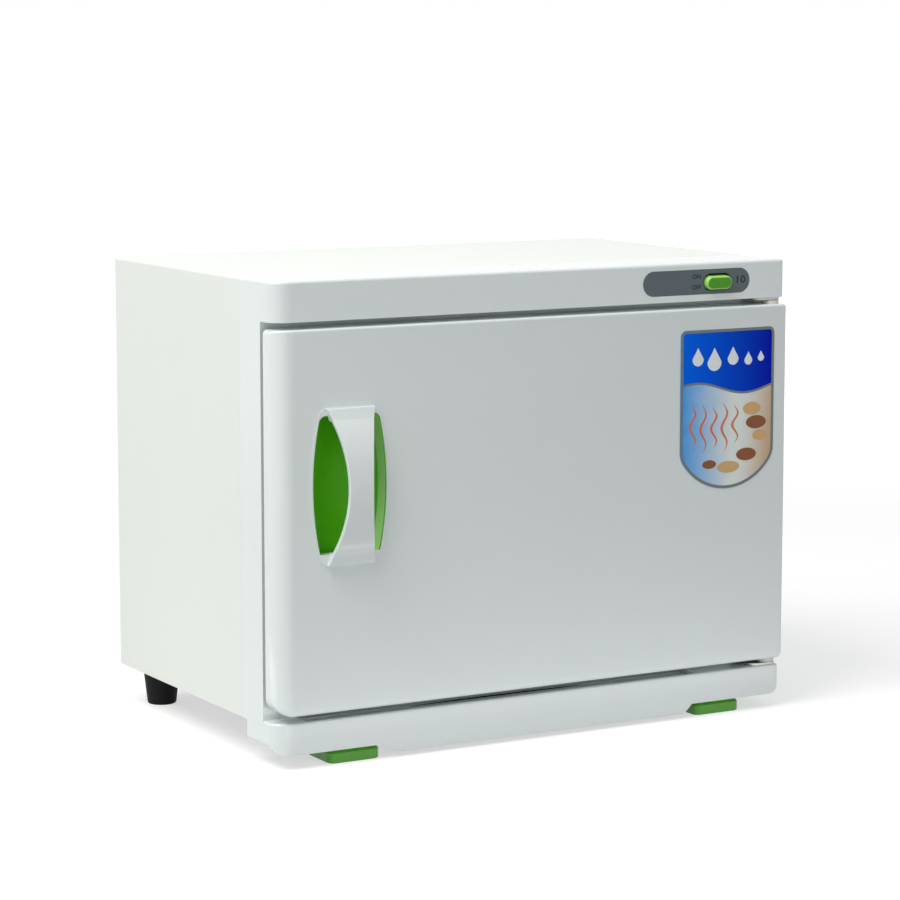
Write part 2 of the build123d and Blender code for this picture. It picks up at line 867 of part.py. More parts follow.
with BuildPart() as door_panel_screws:
    with BuildSketch(facing(panel_back)):
        with Locations(*post_places):
            Circle(head)
    extrude(amount=-1.2)
    with BuildSketch(facing(panel_back)):
        with Locations(*post_places):
            Circle(screw)
    extrude(amount=9.0)
save(door_panel_screws, "door_panel_screws")

gasket_back = front + 19.5
gasket_width = 6.0
gasket_outer = even_outline(-190.0, 190.0, door_low + 2.6, door_high - 2.6, 10.0)
gasket_inner = even_outline(
    -190.0 + gasket_width,
    190.0 - gasket_width,
    door_low + 2.6 + gasket_width,
    door_high - 2.6 - gasket_width,
    4.0,
)
with BuildPart() as door_gasket:
    with BuildSketch(facing(panel_back)):
        add(gasket_outer)
        add(gasket_inner, mode=Mode.SUBTRACT)
    extrude(amount=-(gasket_back - panel_back))
    fillet(door_gasket.faces().sort_by(Axis.Y)[-1].edges(), 2.0)
save(door_gasket, "door_gasket")

lower_bush_flange = 3.5
upper_bush_flange = 2.5
with BuildPart() as hinge_bushes:
    for low, flange_low, flange_high in (
        (door_low, door_low - lower_bush_flange, door_low),
        (door_high - pin_engagement, door_high, door_high + upper_bush_flange),
    ):
        with BuildSketch(Plane.XY.offset(low)):
            with Locations((hinge_x, hinge_y)):
                Circle(bush_radius)
        extrude(amount=pin_engagement)
        with BuildSketch(Plane.XY.offset(flange_low)):
            with Locations((hinge_x, hinge_y)):
                Circle(boss_radius)
        extrude(amount=flange_high - flange_low)
    with BuildSketch(Plane.XY.offset(door_low - lower_bush_flange)):
        with Locations((hinge_x, hinge_y)):
            Circle(pin_radius + 0.05)
    bushes_height = door_high - door_low + lower_bush_flange + upper_bush_flange
    extrude(amount=bushes_height, mode=Mode.SUBTRACT)
save(hinge_bushes, "hinge_bushes")

with BuildPart() as strike_plate:
    with BuildSketch(facing(panel_back)):
        with Locations((catch_x, catch_z)):
            RectangleRounded(15.0, 46.0, 3.0)
    extrude(amount=-0.5)
save(strike_plate, "strike_plate")

# Door: handle, a white grip that bridges a green cup

cup_depth = 9.0
dish_depth = 2.5
cup_floor = door_front + cup_depth
cup_draw = 1.3
hollow_back = cup_floor + dish_depth
cup_back = hollow_back + cup_wall
with BuildPart() as cup_hollow:
    for depth, draw in ((door_front, 0.0), (hollow_back, cup_draw)):
        with BuildSketch(facing(depth)):
            add(cup_outline(-cup_wall - draw))
    loft()
    with BuildSketch(Plane.XY.offset(handle_z - cup_half_height)):
        with BuildLine():
            Polyline(
                (handle_x - cup_half_width, cup_floor),
                (handle_x - cup_half_width, door_front),
                (handle_x + cup_half_width, door_front),
                (handle_x + cup_half_width, cup_floor),
            )
            ThreePointArc(
                (handle_x + cup_half_width, cup_floor),
                (handle_x, cup_floor + dish_depth),
                (handle_x - cup_half_width, cup_floor),
            )
        make_face()
    extrude(amount=2 * cup_half_height, mode=Mode.INTERSECT)

with BuildPart() as handle_cup:
    for depth, draw in ((door_front, 0.0), (cup_back, cup_draw)):
        with BuildSketch(facing(depth)):
            add(cup_outline(-draw))
    loft()
    with BuildSketch(facing(door_front + moulding)):
        add(cup_outline(cup_flange))
    extrude(amount=-cup_wall)
    add(cup_hollow.part, mode=Mode.SUBTRACT)
    with BuildSketch(facing(door_front)):
        with Locations(*handle_screw_places):
            Circle(clearance_hole)
    extrude(amount=-(moulding + cup_wall), mode=Mode.SUBTRACT)
save(handle_cup, "handle_cup")

grip_reach = 25.0
grip_end = 58.2
grip_end_reach = 9.0
grip_end_round = 1.5
shoulder_round = 3.0
shoulder_end = 50.0
shoulder_reach = 12.0
grip_inner_reach = 22.0
grip_inner_shoulder_reach = 9.0
grip_shelf = 48.5
grip_end_half_width = 19.8
grip_middle_half_width = 9.8
rim_proud = 0.8
rim_half_width = 31.9
rim_corner = 9.0
rim_lap = 0.6
ledge_drop = 49.5
ledge_depth = 7.0
ledge_gap = 2.4
with BuildPart() as handle_grip:
    with BuildSketch(Plane.YZ.offset(handle_x - grip_end_half_width - 2.0)) as grip_side:
        with BuildLine():
            Polyline(
                (front - shoulder_reach, handle_z + shoulder_end),
                (front - grip_end_reach, handle_z + grip_end),
                (door_front, handle_z + grip_end),
                (door_front, handle_z + grip_shelf),
                (front - grip_inner_shoulder_reach, handle_z + grip_shelf),
            )
            ThreePointArc(
                (front - grip_inner_shoulder_reach, handle_z + grip_shelf),
                (front - grip_inner_reach, handle_z),
                (front - grip_inner_shoulder_reach, handle_z - grip_shelf),
            )
            Polyline(
                (front - grip_inner_shoulder_reach, handle_z - grip_shelf),
                (door_front, handle_z - grip_shelf),
                (door_front, handle_z - grip_end),
                (front - grip_end_reach, handle_z - grip_end),
                (front - shoulder_reach, handle_z - shoulder_end),
            )
            ThreePointArc(
                (front - shoulder_reach, handle_z - shoulder_end),
                (front - grip_reach, handle_z),
                (front - shoulder_reach, handle_z + shoulder_end),
            )
        make_face()
        for side in (-1, 1):
            shoulder = (front - shoulder_reach, handle_z + side * shoulder_end)
            fillet(grip_side.vertices().sort_by_distance(shoulder)[0], shoulder_round)
            end = (front - grip_end_reach, handle_z + side * grip_end)
            fillet(grip_side.vertices().sort_by_distance(end)[0], grip_end_round)
    extrude(amount=2 * grip_end_half_width + 4.0)
    with BuildSketch(facing(door_front)):
        with BuildLine():
            Line(
                (handle_x - grip_end_half_width, handle_z + grip_end),
                (handle_x + grip_end_half_width, handle_z + grip_end),
            )
            ThreePointArc(
                (handle_x + grip_end_half_width, handle_z + grip_end),
                (handle_x + grip_middle_half_width, handle_z),
                (handle_x + grip_end_half_width, handle_z - grip_end),
            )
            Line(
                (handle_x + grip_end_half_width, handle_z - grip_end),
                (handle_x - grip_end_half_width, handle_z - grip_end),
            )
            ThreePointArc(
                (handle_x - grip_end_half_width, handle_z - grip_end),
                (handle_x - grip_middle_half_width, handle_z),
                (handle_x - grip_end_half_width, handle_z + grip_end),
            )
        make_face()
    extrude(amount=grip_reach + 5.0, mode=Mode.INTERSECT)
    arched_edges = handle_grip.edges().filter_by(lambda edge: edge.length > 60.0)
    fillet(arched_edges.group_by(lambda edge: edge.center().Y)[0], 0.6)
    with BuildSketch(facing(door_front)):
        add(barrel_outline(rim_half_width, grip_end, rim_corner))
        add(cup_outline(-rim_lap), mode=Mode.SUBTRACT)
    extrude(amount=rim_proud)
    for depth, shrink in ((0.0, rim_lap), (ledge_depth, ledge_gap)):
        with BuildSketch(facing(door_front + depth)):
            add(cup_outline(-shrink))
            with Locations((handle_x, handle_z + cup_half_height - ledge_drop)):
                Rectangle(2 * cup_half_width, 2 * cup_half_height, mode=Mode.SUBTRACT)
        extrude(amount=depth + rim_proud)
    with BuildSketch(facing(door_front)):
        with Locations(*handle_screw_places):
            Circle(screw)
    extrude(amount=2.0, mode=Mode.SUBTRACT)
save(handle_grip, "handle_grip")

flange_back = door_front + moulding + cup_wall
with BuildPart() as handle_screws:
    with BuildSketch(facing(flange_back)):
        with Locations(*handle_screw_places):
            Circle(head)
    extrude(amount=-head_height)
    with BuildSketch(facing(flange_back)):
        with Locations(*handle_screw_places):
            Circle(screw)
    extrude(amount=flange_back - door_front + 2.0)
save(handle_screws, "handle_screws")

# Door: plain printed label in the shape of a shield

label_left = 124.4
label_right = 212.8
label_high = 308.0
label_straight_low = 208.0
label_tip = 182.0
label_sheet = 0.4
with BuildPart() as door_label:
    with BuildSketch(facing(door_front)) as label_outline:
        with BuildLine():
            Polyline(
                (label_left, label_straight_low),
                (label_left, label_high),
                (label_right, label_high),
                (label_right, label_straight_low),
            )
            ThreePointArc(
                (label_right, label_straight_low),
                ((label_left + label_right) / 2, label_tip),
                (label_left, label_straight_low),
            )
        make_face()
        for corner in ((label_left, label_high), (label_right, label_high)):
            fillet(label_outline.vertices().sort_by_distance(corner)[0], 5.0)
        for corner in ((label_left, label_straight_low), (label_right, label_straight_low)):
            fillet(label_outline.vertices().sort_by_distance(corner)[0], 18.0)
    extrude(amount=label_sheet)
save(door_label, "door_label")

# Chamber: deep liner with a flange behind the front frame

liner_round = 8.0
liner_outline = even_outline(-liner_half, liner_half, liner_low, liner_high, liner_round)
liner_outside = even_outline(
    -liner_half - liner_sheet,
    liner_half + liner_sheet,
    liner_low - liner_sheet,
    liner_high + liner_sheet,
    liner_round + liner_sheet,
)
flange_outline = even_outline(
    -liner_half - liner_flange,
    liner_half + liner_flange,
    liner_low - liner_flange,
    liner_high + liner_flange,
    liner_round + liner_flange,
)
with BuildPart() as chamber_liner:
    with BuildSketch(facing(seat_back)):
        add(liner_outside)
    extrude(amount=-(liner_back + liner_sheet - seat_back))
    with BuildSketch(facing(seat_back)):
        add(flange_outline)
    extrude(amount=-liner_sheet)
    with BuildSketch(facing(seat_back)):
        add(liner_outline)
    extrude(amount=-(liner_back - seat_back), mode=Mode.SUBTRACT)
save(chamber_liner, "chamber_liner")

# Chamber: heating film under the liner, and foam around it

film_thickness = 1.2
film_low = liner_low - liner_sheet - film_thickness
with BuildPart() as heating_film:
    with BuildSketch(Plane.XY.offset(film_low)):
        with Locations((0, front + 145.0)):
            RectangleRounded(300.0, 190.0, 6.0)
    extrude(amount=film_thickness)
save(heating_film, "heating_film")

foam_half = 191.0
foam_low = casing_low + 2.6
foam_high = 330.0
foam_front = seat_back + liner_sheet
foam_back = front + 275.0
sensor_x = 60.0
sensor_z = 150.0
with BuildPart() as chamber_insulation:
    with BuildSketch(facing(foam_front)):
        with Locations((0, (foam_low + foam_high) / 2)):
            Rectangle(2 * foam_half, foam_high - foam_low)
    extrude(amount=-(foam_back - foam_front))
    with BuildSketch(facing(foam_front)):
        add(liner_outside)
        with Locations((0, liner_low)):
            Rectangle(2 * liner_half + 2 * liner_sheet, 2 * (liner_low - film_low))
    extrude(amount=-(liner_back + liner_sheet - foam_front), mode=Mode.SUBTRACT)
    with BuildSketch(facing(liner_back)):
        with Locations((sensor_x, sensor_z + 8.0)):
            Rectangle(80.0, 50.0)
    extrude(amount=-(foam_back - liner_back), mode=Mode.SUBTRACT)
save(chamber_insulation, "chamber_insulation")

# Chamber: thermostat and thermal fuse on the back of the liner

sensor_front = liner_back + liner_sheet
with BuildPart() as thermostat:
    with BuildSketch(facing(sensor_front)):
        with Locations((sensor_x, sensor_z)):
            Circle(8.0)
    extrude(amount=-3.0)
    with BuildSketch(facing(sensor_front + 3.0)):
        with Locations((sensor_x, sensor_z)):
            Circle(6.5)
    extrude(amount=-5.0)
    with BuildSketch(facing(sensor_front + 8.0)):
        with Locations((sensor_x, sensor_z)):
            with GridLocations(8.0, 0, 2, 1):
                Rectangle(0.8, 6.3)
    extrude(amount=-5.0)
save(thermostat, "thermostat")

with BuildPart() as thermal_fuse:
    with BuildSketch(facing(sensor_front)):
        with Locations((sensor_x, sensor_z + 22.0)):
            Rectangle(14.0, 5.0)
    extrude(amount=-1.2)
    with Locations((sensor_x, sensor_front + 2.6, sensor_z + 22.0)):
        Cylinder(2.0, 16.0, rotation=(0, 90, 0))
        Cylinder(0.5, 34.0, rotation=(0, 90, 0))
save(thermal_fuse, "thermal_fuse")

# Chamber: angle rails for the baskets and runners for the tray

lower_level = 88.0
upper_level = 190.0
ring_wire = 2.5
ride_gap = 0.4
rail_width = 20.0
rail_height = 12.0
rail_front = lip_back + 4.0
rail_back = liner_back - 4.0
runner_high = mouth_low + 0.6
with BuildPart() as basket_rails:
    for level in (lower_level, upper_level):
        rail_top = level - ring_wire - ride_gap
        for side in (-1, 1):
            with BuildSketch(facing(rail_front)):
                with Locations((side * (liner_half - rail_width / 2), rail_top - sheet / 2)):
                    Rectangle(rail_width, sheet)
                with Locations((side * (liner_half - sheet / 2), rail_top - rail_height / 2)):
                    Rectangle(sheet, rail_height)
            extrude(amount=-(rail_back - rail_front))
save(basket_rails, "basket_rails")

with BuildPart() as tray_runners:
    for side in (-1, 1):
        with BuildSketch(facing(rail_front)):
            with Locations((side * 145.0, (liner_low + runner_high) / 2)):
                Rectangle(16.0, runner_high - liner_low)
        extrude(amount=-(rail_back - rail_front))
save(tray_runners, "tray_runners")

# Chamber: two wire baskets. Long wires run front to back and turn up at both ends.

basket_half = 168.0
basket_front = front + 33.0
basket_back = front + 246.0
basket_height = 25.0
basket_round = 14.0
rim_wire = 2.0
bar_wire = 1.8
long_wire = 1.25
wire_lift = 2.8
long_wire_count = 13
long_wire_pitch = 24.0
ring_outline = even_outline(
    -basket_half, basket_half, basket_front, basket_back, basket_round
)


def wire_basket(level):
    """Basket whose bottom ring has its middle at a level."""
    with BuildPart() as basket:
        for ring_z, ring_radius in ((level, ring_wire), (level + basket_height, rim_wire)):
            ring_path = Pos(0, 0, ring_z) * ring_outline.face().outer_wire()
            with BuildSketch(Plane(origin=ring_path @ 0, z_dir=ring_path % 0)):
                Circle(ring_radius)
            sweep(path=ring_path)
        for share in (0.25, 0.5, 0.75):
            bar_y = basket_front + share * (basket_back - basket_front)
            with Locations((0, bar_y, level)):
                Cylinder(bar_wire, 2 * basket_half, rotation=(0, 90, 0))
            with Locations(
                (-basket_half, bar_y, level + basket_height / 2),
                (basket_half, bar_y, level + basket_height / 2),
            ):
                Cylinder(long_wire, basket_height)
        for number in range(long_wire_count):
            wire_x = (number - (long_wire_count - 1) / 2) * long_wire_pitch
            with BuildLine(Plane.YZ.offset(wire_x)) as run:
                FilletPolyline(
                    (basket_front, level + basket_height),
                    (basket_front, level + wire_lift),
                    (basket_back, level + wire_lift),
                    (basket_back, level + basket_height),
                    radius=8.0,
                )
            with BuildSketch(
                Plane(origin=(wire_x, basket_front, level + basket_height), z_dir=(0, 0, -1))
            ):
                Circle(long_wire)
            sweep(path=run.wires()[0])
    return basket


upper_rack = wire_basket(upper_level)
save(upper_rack, "upper_rack")
lower_rack = wire_basket(lower_level)
save(lower_rack, "lower_rack")

# Chamber: drip tray that slides on its runners over the lip of the mouth

tray_half = 168.0
tray_low = runner_high + ride_gap
tray_high = tray_low + 15.0
tray_front = front + 32.0
tray_back = front + 246.0
tray_round = 9.0
tray_wall = 1.0
tray_rim = 2.0
tray_outline = even_outline(-tray_half, tray_half, tray_front, tray_back, tray_round)
tray_inside = even_outline(
    -tray_half + tray_wall,
    tray_half - tray_wall,
    tray_front + tray_wall,
    tray_back - tray_wall,
    tray_round - tray_wall,
)
tray_rim_outline = even_outline(
    -tray_half - tray_rim,
    tray_half + tray_rim,
    tray_front - tray_rim,
    tray_back + tray_rim,
    tray_round + tray_rim,
)
with BuildPart() as drip_tray:
    with BuildSketch(Plane.XY.offset(tray_low)):
        add(tray_outline)
    extrude(amount=tray_high - tray_low)
    with BuildSketch(Plane.XY.offset(tray_high - tray_wall)):
        add(tray_rim_outline)
        with Locations((0, tray_front - tray_rim)):
            SlotOverall(70.0, 10.0)
    extrude(amount=tray_wall)
    with BuildSketch(Plane.XY.offset(tray_low + tray_wall)):
        add(tray_inside)
    extrude(amount=tray_high - tray_low, mode=Mode.SUBTRACT)
save(drip_tray, "drip_tray")

# Chamber: ultraviolet tube across the top at the back, with its holders and guard

lamp_y = front + 240.0
lamp_z = 300.0
tube_radius = 8.0
tube_half = 138.0
cap_half = 146.0
contact_half = 152.0
holder_half = 159.0
contact_spread = 5.0
with BuildPart() as uv_lamp_tube:
    with Locations((0, lamp_y, lamp_z)):
        Cylinder(tube_radius, 2 * tube_half, rotation=(0, 90, 0))
        Cylinder(tube_radius - 0.8, 2 * tube_half, rotation=(0, 90, 0), mode=Mode.SUBTRACT)
save(uv_lamp_tube, "uv_lamp_tube")

with BuildPart() as uv_lamp_caps:
    for side in (-1, 1):
        with Locations((side * (tube_half + cap_half) / 2, lamp_y, lamp_z)):
            Cylinder(tube_radius, cap_half - tube_half, rotation=(0, 90, 0))
        with Locations(
            (side * (cap_half + contact_half) / 2, lamp_y, lamp_z - contact_spread / 2),
            (side * (cap_half + contact_half) / 2, lamp_y, lamp_z + contact_spread / 2),
        ):
            Cylinder(1.2, contact_half - cap_half, rotation=(0, 90, 0))
save(uv_lamp_caps, "uv_lamp_caps")

with BuildPart() as lamp_holders:
    for side in (-1, 1):
        with Locations((side * (cap_half + holder_half) / 2, (lamp_y + liner_back) / 2 - 5.0, lamp_z)):
            Box(holder_half - cap_half, liner_back - lamp_y + 10.0, 26.0)
        with Locations((side * (cap_half + contact_half) / 2, lamp_y, lamp_z)):
            Box(
                contact_half - cap_half,
                2.6,
                contact_spread + 2.6,
                mode=Mode.SUBTRACT,
            )
save(lamp_holders, "lamp_holders")

guard_front = front + 226.0
guard_low = 284.0
guard_half = 164.0
guard_sheet = 0.8
with BuildPart() as lamp_guard:
    with BuildSketch(facing(guard_front)):
        with Locations((0, (guard_low + liner_high) / 2)):
            Rectangle(2 * guard_half, liner_high - guard_low)
        with Locations((0, (guard_low + liner_high) / 2)):
            with GridLocations(22.0, 0, 13, 1):
                SlotOverall(22.0, 12.0, rotation=90, mode=Mode.SUBTRACT)
    extrude(amount=-guard_sheet)
    with BuildSketch(Plane.XY.offset(guard_low)):
        with Locations((0, (guard_front + liner_back) / 2)):
            Rectangle(2 * guard_half, liner_back - guard_front)
            with GridLocations(22.0, 0, 13, 1):
                SlotOverall(22.0, 12.0, rotation=90, mode=Mode.SUBTRACT)
    extrude(amount=guard_sheet)
save(lamp_guard, "lamp_guard")

# Above the liner: lamp gear, terminals and the lead to the switch

gear_y = front + 140.0
with BuildPart() as lamp_ballast:
    with BuildSketch(Plane.XY.offset(foam_high)):
        with Locations((-40.0, gear_y)):
            Rectangle(110.0, 38.0)
    extrude(amount=sheet)
    with BuildSketch(Plane.XY.offset(foam_high + sheet)):
        with Locations((-40.0, gear_y)):
            Rectangle(84.0, 34.0)
    extrude(amount=25.0)
    fillet(lamp_ballast.edges().filter_by(Axis.Z).group_by(SortBy.LENGTH)[-1], 2.0)
save(lamp_ballast, "lamp_ballast")

starter_x = 70.0
starter_z = foam_high + 14.0
with BuildPart() as starter_holder:
    with Locations((starter_x - 20.0, gear_y, starter_z)):
        Box(8.0, 26.0, 28.0)
save(starter_holder, "starter_holder")

with BuildPart() as lamp_starter:
    with Locations((starter_x, gear_y, starter_z)):
        Cylinder(10.5, 32.0, rotation=(0, 90, 0))
    fillet(lamp_starter.edges().sort_by(Axis.X)[-1], 2.0)
save(lamp_starter, "lamp_starter")

terminal_y = front + 240.0
terminal_x = 150.0
terminal_high = foam_high + 14.0
with BuildPart() as terminal_block:
    with Locations((terminal_x, terminal_y, (foam_high + terminal_high) / 2)):
        Box(44.0, 20.0, terminal_high - foam_high)
    with BuildSketch(Plane.XY.offset(terminal_high)):
        with Locations((terminal_x, terminal_y)):
            with GridLocations(12.0, 0, 3, 1):
                Circle(2.6)
    extrude(amount=-6.0, mode=Mode.SUBTRACT)
save(terminal_block, "terminal_block")

lead_radius = 2.0
lead_points = (
    (terminal_x, terminal_y - 10.0, 338.0),
    (terminal_x, front + 190.0, 338.0),
    (switch_x - 4.0, front + 120.0, 339.5),
    (switch_x, front + 70.0, switch_z),
    (switch_x, switch_body_back + 8.0, switch_z),
)
with BuildPart() as switch_lead:
    with BuildLine() as lead_path:
        FilletPolyline(*lead_points, radius=60.0)
    with BuildSketch(Plane(origin=lead_points[0], z_dir=lead_path.line % 0)):
        Circle(lead_radius)
    sweep(path=lead_path.wires()[0])
save(switch_lead, "switch_lead")

# Cable gland through the rear panel, open along its bore, with its nut

gland_bore = 3.75
gland_front = rear_panel_front - 10.0
gland_back = rear + 5.0
with BuildPart() as cable_gland:
    with BuildSketch(facing(gland_front)):
        with Locations((gland_x, gland_z)):
            Circle(gland_hole)
    extrude(amount=-(gland_back - gland_front))
    with BuildSketch(facing(rear_panel_front + sheet)):
        with Locations((gland_x, gland_z)):
            Circle(9.0)
    extrude(amount=-(gland_back - rear_panel_front - sheet))
    fillet(cable_gland.edges().group_by(Axis.Y)[-1], 1.5)
    with BuildSketch(facing(gland_front)):
        with Locations((gland_x, gland_z)):
            Circle(gland_bore)
    extrude(amount=-(gland_back - gland_front), mode=Mode.SUBTRACT)
save(cable_gland, "cable_gland")

with BuildPart() as gland_nut:
    with BuildSketch(facing(rear_panel_front)):
        with Locations((gland_x, gland_z)):
            RegularPolygon(9.5, 6)
            Circle(gland_hole, mode=Mode.SUBTRACT)
    extrude(amount=4.0)
save(gland_nut, "gland_nut")
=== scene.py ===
# %% [markdown]
# A countertop cabinet that keeps rolled towels warm and clean. A painted steel wrapper holds an
# aluminium chamber, and a moulded door with a bridged grip closes it in front.
# The imported model already holds every piece at its real size, so this lesson adds what the eye
# needs: paint, mouldings, metal, print, light and a camera. First the model is loaded, and its box
# is kept, because some lamps and the seat's place are measured from it. First the model is loaded,
# and its box is kept, because nothing added later may stand out of it.
# %% Load the imported model
import json
import math

import bpy
from mathutils import Matrix, Vector


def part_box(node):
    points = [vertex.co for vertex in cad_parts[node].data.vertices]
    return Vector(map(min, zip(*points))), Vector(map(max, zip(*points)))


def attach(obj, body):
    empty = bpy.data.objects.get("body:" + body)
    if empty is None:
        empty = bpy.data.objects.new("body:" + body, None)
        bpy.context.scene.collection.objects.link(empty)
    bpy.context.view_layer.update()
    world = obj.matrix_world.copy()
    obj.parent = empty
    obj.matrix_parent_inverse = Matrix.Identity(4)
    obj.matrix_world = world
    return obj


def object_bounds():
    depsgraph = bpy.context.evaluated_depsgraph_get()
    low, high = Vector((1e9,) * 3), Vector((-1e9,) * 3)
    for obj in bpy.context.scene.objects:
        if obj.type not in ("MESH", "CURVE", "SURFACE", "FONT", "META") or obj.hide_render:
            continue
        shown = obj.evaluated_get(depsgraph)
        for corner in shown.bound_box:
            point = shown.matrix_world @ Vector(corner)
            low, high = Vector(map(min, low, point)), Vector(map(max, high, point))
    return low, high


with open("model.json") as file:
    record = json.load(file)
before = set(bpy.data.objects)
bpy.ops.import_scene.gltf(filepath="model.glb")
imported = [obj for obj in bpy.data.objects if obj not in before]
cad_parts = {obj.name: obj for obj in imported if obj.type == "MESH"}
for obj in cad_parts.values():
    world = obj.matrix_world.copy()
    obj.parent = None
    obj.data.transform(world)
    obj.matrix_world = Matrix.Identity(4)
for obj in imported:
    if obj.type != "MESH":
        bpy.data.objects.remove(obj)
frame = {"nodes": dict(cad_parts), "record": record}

cad_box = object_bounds()
nodes = frame["nodes"]
mm = 0.001

# %% [markdown]
# The cabinet was photographed from its left, a little above the middle, through a long lens.
# A camera could be aimed by eye, but a box has straight edges that show any error, so its place
# comes from the vanishing lines of the cabinet's own edges. The Standard view keeps white paint
# white, where a filmic view would turn it grey.
# %% Camera at the photograph's viewpoint
camera_place = Vector((-1.19698, -2.09106, 0.54180))
camera_down = math.radians(7.896)
camera_turn = math.radians(-29.706)
lens = bpy.data.cameras.new("product_lens")
lens.sensor_width = 36.0
lens.lens = 122.34
camera = bpy.data.objects.new("product_camera", lens)
camera.location = camera_place
camera.rotation_euler = (math.radians(90.0) - camera_down, 0.0, camera_turn)
bpy.context.scene.collection.objects.link(camera)
bpy.context.scene.camera = camera
bpy.context.scene.view_settings.view_transform = "Standard"
door_middle = Vector((0.0, -0.13, 0.18))
print("camera distance from the door:", round((camera_place - door_middle).length, 3))


# %% [markdown]
# Colours on a screen are stored as 0 to 255 on a curve, while light adds up in a straight line.
# The colours of paint, mouldings, metal and print are written as seen, and this helper turns them
# into linear light. The curve is the usual one of screens: a short straight foot, then a power.
# %% Colour helper
def seen(red, green, blue):
    """A colour as it is seen on a screen, 0 to 255, turned into linear light with full alpha."""
    channels = []
    for level in (red, green, blue):
        share = level / 255.0
        channels.append(share / 12.92 if share <= 0.04045 else ((share + 0.055) / 1.055) ** 2.4)
    return (*channels, 1.0)


# %% [markdown]
# The cabinet stands on a white sweep that fades into a white background. A floor that is simply
# very bright would also throw light up at the cabinet, so the white is shown only to the camera
# and to mirror and glass rays. A Light Path node tells these rays apart from the others.
# %% Rays that see white
def light_path_choice(tree):
    """1 for what the camera sees directly, in a reflection or through glass, and else 0."""
    rays = tree.nodes.new("ShaderNodeLightPath")
    either = tree.nodes.new("ShaderNodeMath")
    either.operation = "MAXIMUM"
    tree.links.new(rays.outputs["Is Camera Ray"], either.inputs[0])
    tree.links.new(rays.outputs["Is Glossy Ray"], either.inputs[1])
    any_of_three = tree.nodes.new("ShaderNodeMath")
    any_of_three.operation = "MAXIMUM"
    tree.links.new(either.outputs[0], any_of_three.inputs[0])
    tree.links.new(rays.outputs["Is Transmission Ray"], any_of_three.inputs[1])
    return any_of_three.outputs[0]


# %% [markdown]
# The floor is one large square. Its material adds a glow for those rays to a plain diffuse paint,
# and what is left of the diffuse floor keeps the soft shadow. The glow grows away from the
# cabinet, where the soft box no longer reaches the floor.
# %% White floor
floor_half = 12.0
floor_mesh = bpy.data.meshes.new("studio_floor")
floor_mesh.from_pydata(
    [(x * floor_half, y * floor_half, 0.0) for x, y in ((-1, -1), (1, -1), (1, 1), (-1, 1))],
    [],
    [(0, 1, 2, 3)],
)
floor = bpy.data.objects.new("studio_floor", floor_mesh)
bpy.context.scene.collection.objects.link(floor)

floor_paint = bpy.data.materials.new("studio_floor_white")
floor_paint.use_nodes = True
floor_tree = floor_paint.node_tree
floor_tree.nodes.clear()
floor_out = floor_tree.nodes.new("ShaderNodeOutputMaterial")
floor_sum = floor_tree.nodes.new("ShaderNodeAddShader")
floor_matt = floor_tree.nodes.new("ShaderNodeBsdfDiffuse")
floor_matt.inputs["Color"].default_value = (0.55, 0.55, 0.55, 1.0)
floor_glow = floor_tree.nodes.new("ShaderNodeEmission")
near_floor, far_floor = 0.9, 2.6
glow_near, glow_far = 0.55, 1.0
floor_place = floor_tree.nodes.new("ShaderNodeTexCoord")
floor_distance = floor_tree.nodes.new("ShaderNodeVectorMath")
floor_distance.operation = "LENGTH"
floor_tree.links.new(floor_place.outputs["Object"], floor_distance.inputs[0])
floor_spread = floor_tree.nodes.new("ShaderNodeMapRange")
floor_spread.interpolation_type = "SMOOTHSTEP"
floor_spread.inputs["From Min"].default_value = near_floor
floor_spread.inputs["From Max"].default_value = far_floor
floor_spread.inputs["To Min"].default_value = glow_near
floor_spread.inputs["To Max"].default_value = glow_far
floor_tree.links.new(floor_distance.outputs["Value"], floor_spread.inputs["Value"])
floor_strength = floor_tree.nodes.new("ShaderNodeMath")
floor_strength.operation = "MULTIPLY"
floor_tree.links.new(floor_spread.outputs["Result"], floor_strength.inputs[1])
floor_tree.links.new(light_path_choice(floor_tree), floor_strength.inputs[0])
floor_tree.links.new(floor_strength.outputs[0], floor_glow.inputs["Strength"])
floor_tree.links.new(floor_matt.outputs[0], floor_sum.inputs[0])
floor_tree.links.new(floor_glow.outputs[0], floor_sum.inputs[1])
floor_tree.links.new(floor_sum.outputs[0], floor_out.inputs["Surface"])
floor_mesh.materials.append(floor_paint)
print("floor glow:", glow_near, "near the cabinet,", glow_far, "from", far_floor, "m on")

# %% [markdown]
# The surroundings give an even light from all sides. It is a touch cool, as daylight in a white
# room is, and as bright as white only where the camera or a reflection looks at it.
# %% Even light from the room
fill_strength = 0.365
room = bpy.data.worlds.new("white_room")
bpy.context.scene.world = room
room.use_nodes = True
room_tree = room.node_tree
room_tree.nodes.clear()
room_out = room_tree.nodes.new("ShaderNodeOutputWorld")
room_mix = room_tree.nodes.new("ShaderNodeMixShader")
room_fill = room_tree.nodes.new("ShaderNodeBackground")
room_fill.inputs["Color"].default_value = (0.95, 1.0, 0.99, 1.0)
room_fill.inputs["Strength"].default_value = fill_strength
room_seen = room_tree.nodes.new("ShaderNodeBackground")
room_seen.inputs["Color"].default_value = (1.0, 1.0, 1.0, 1.0)
room_seen.inputs["Strength"].default_value = 1.0
room_tree.links.new(light_path_choice(room_tree), room_mix.inputs["Fac"])
room_tree.links.new(room_fill.outputs[0], room_mix.inputs[1])
room_tree.links.new(room_seen.outputs[0], room_mix.inputs[2])
room_tree.links.new(room_mix.outputs[0], room_out.inputs["Surface"])
print("room light:", fill_strength, "of white")

# %% [markdown]
# On the photograph the left side is brighter than the front, and the top is nearly white. One
# large soft box high on the left makes that order, and its size keeps the shadows soft. A weak
# one right above lifts only what faces up.
# %% Soft boxes on the left and above
object_middle = Vector((0.0, 0.0, 0.18))


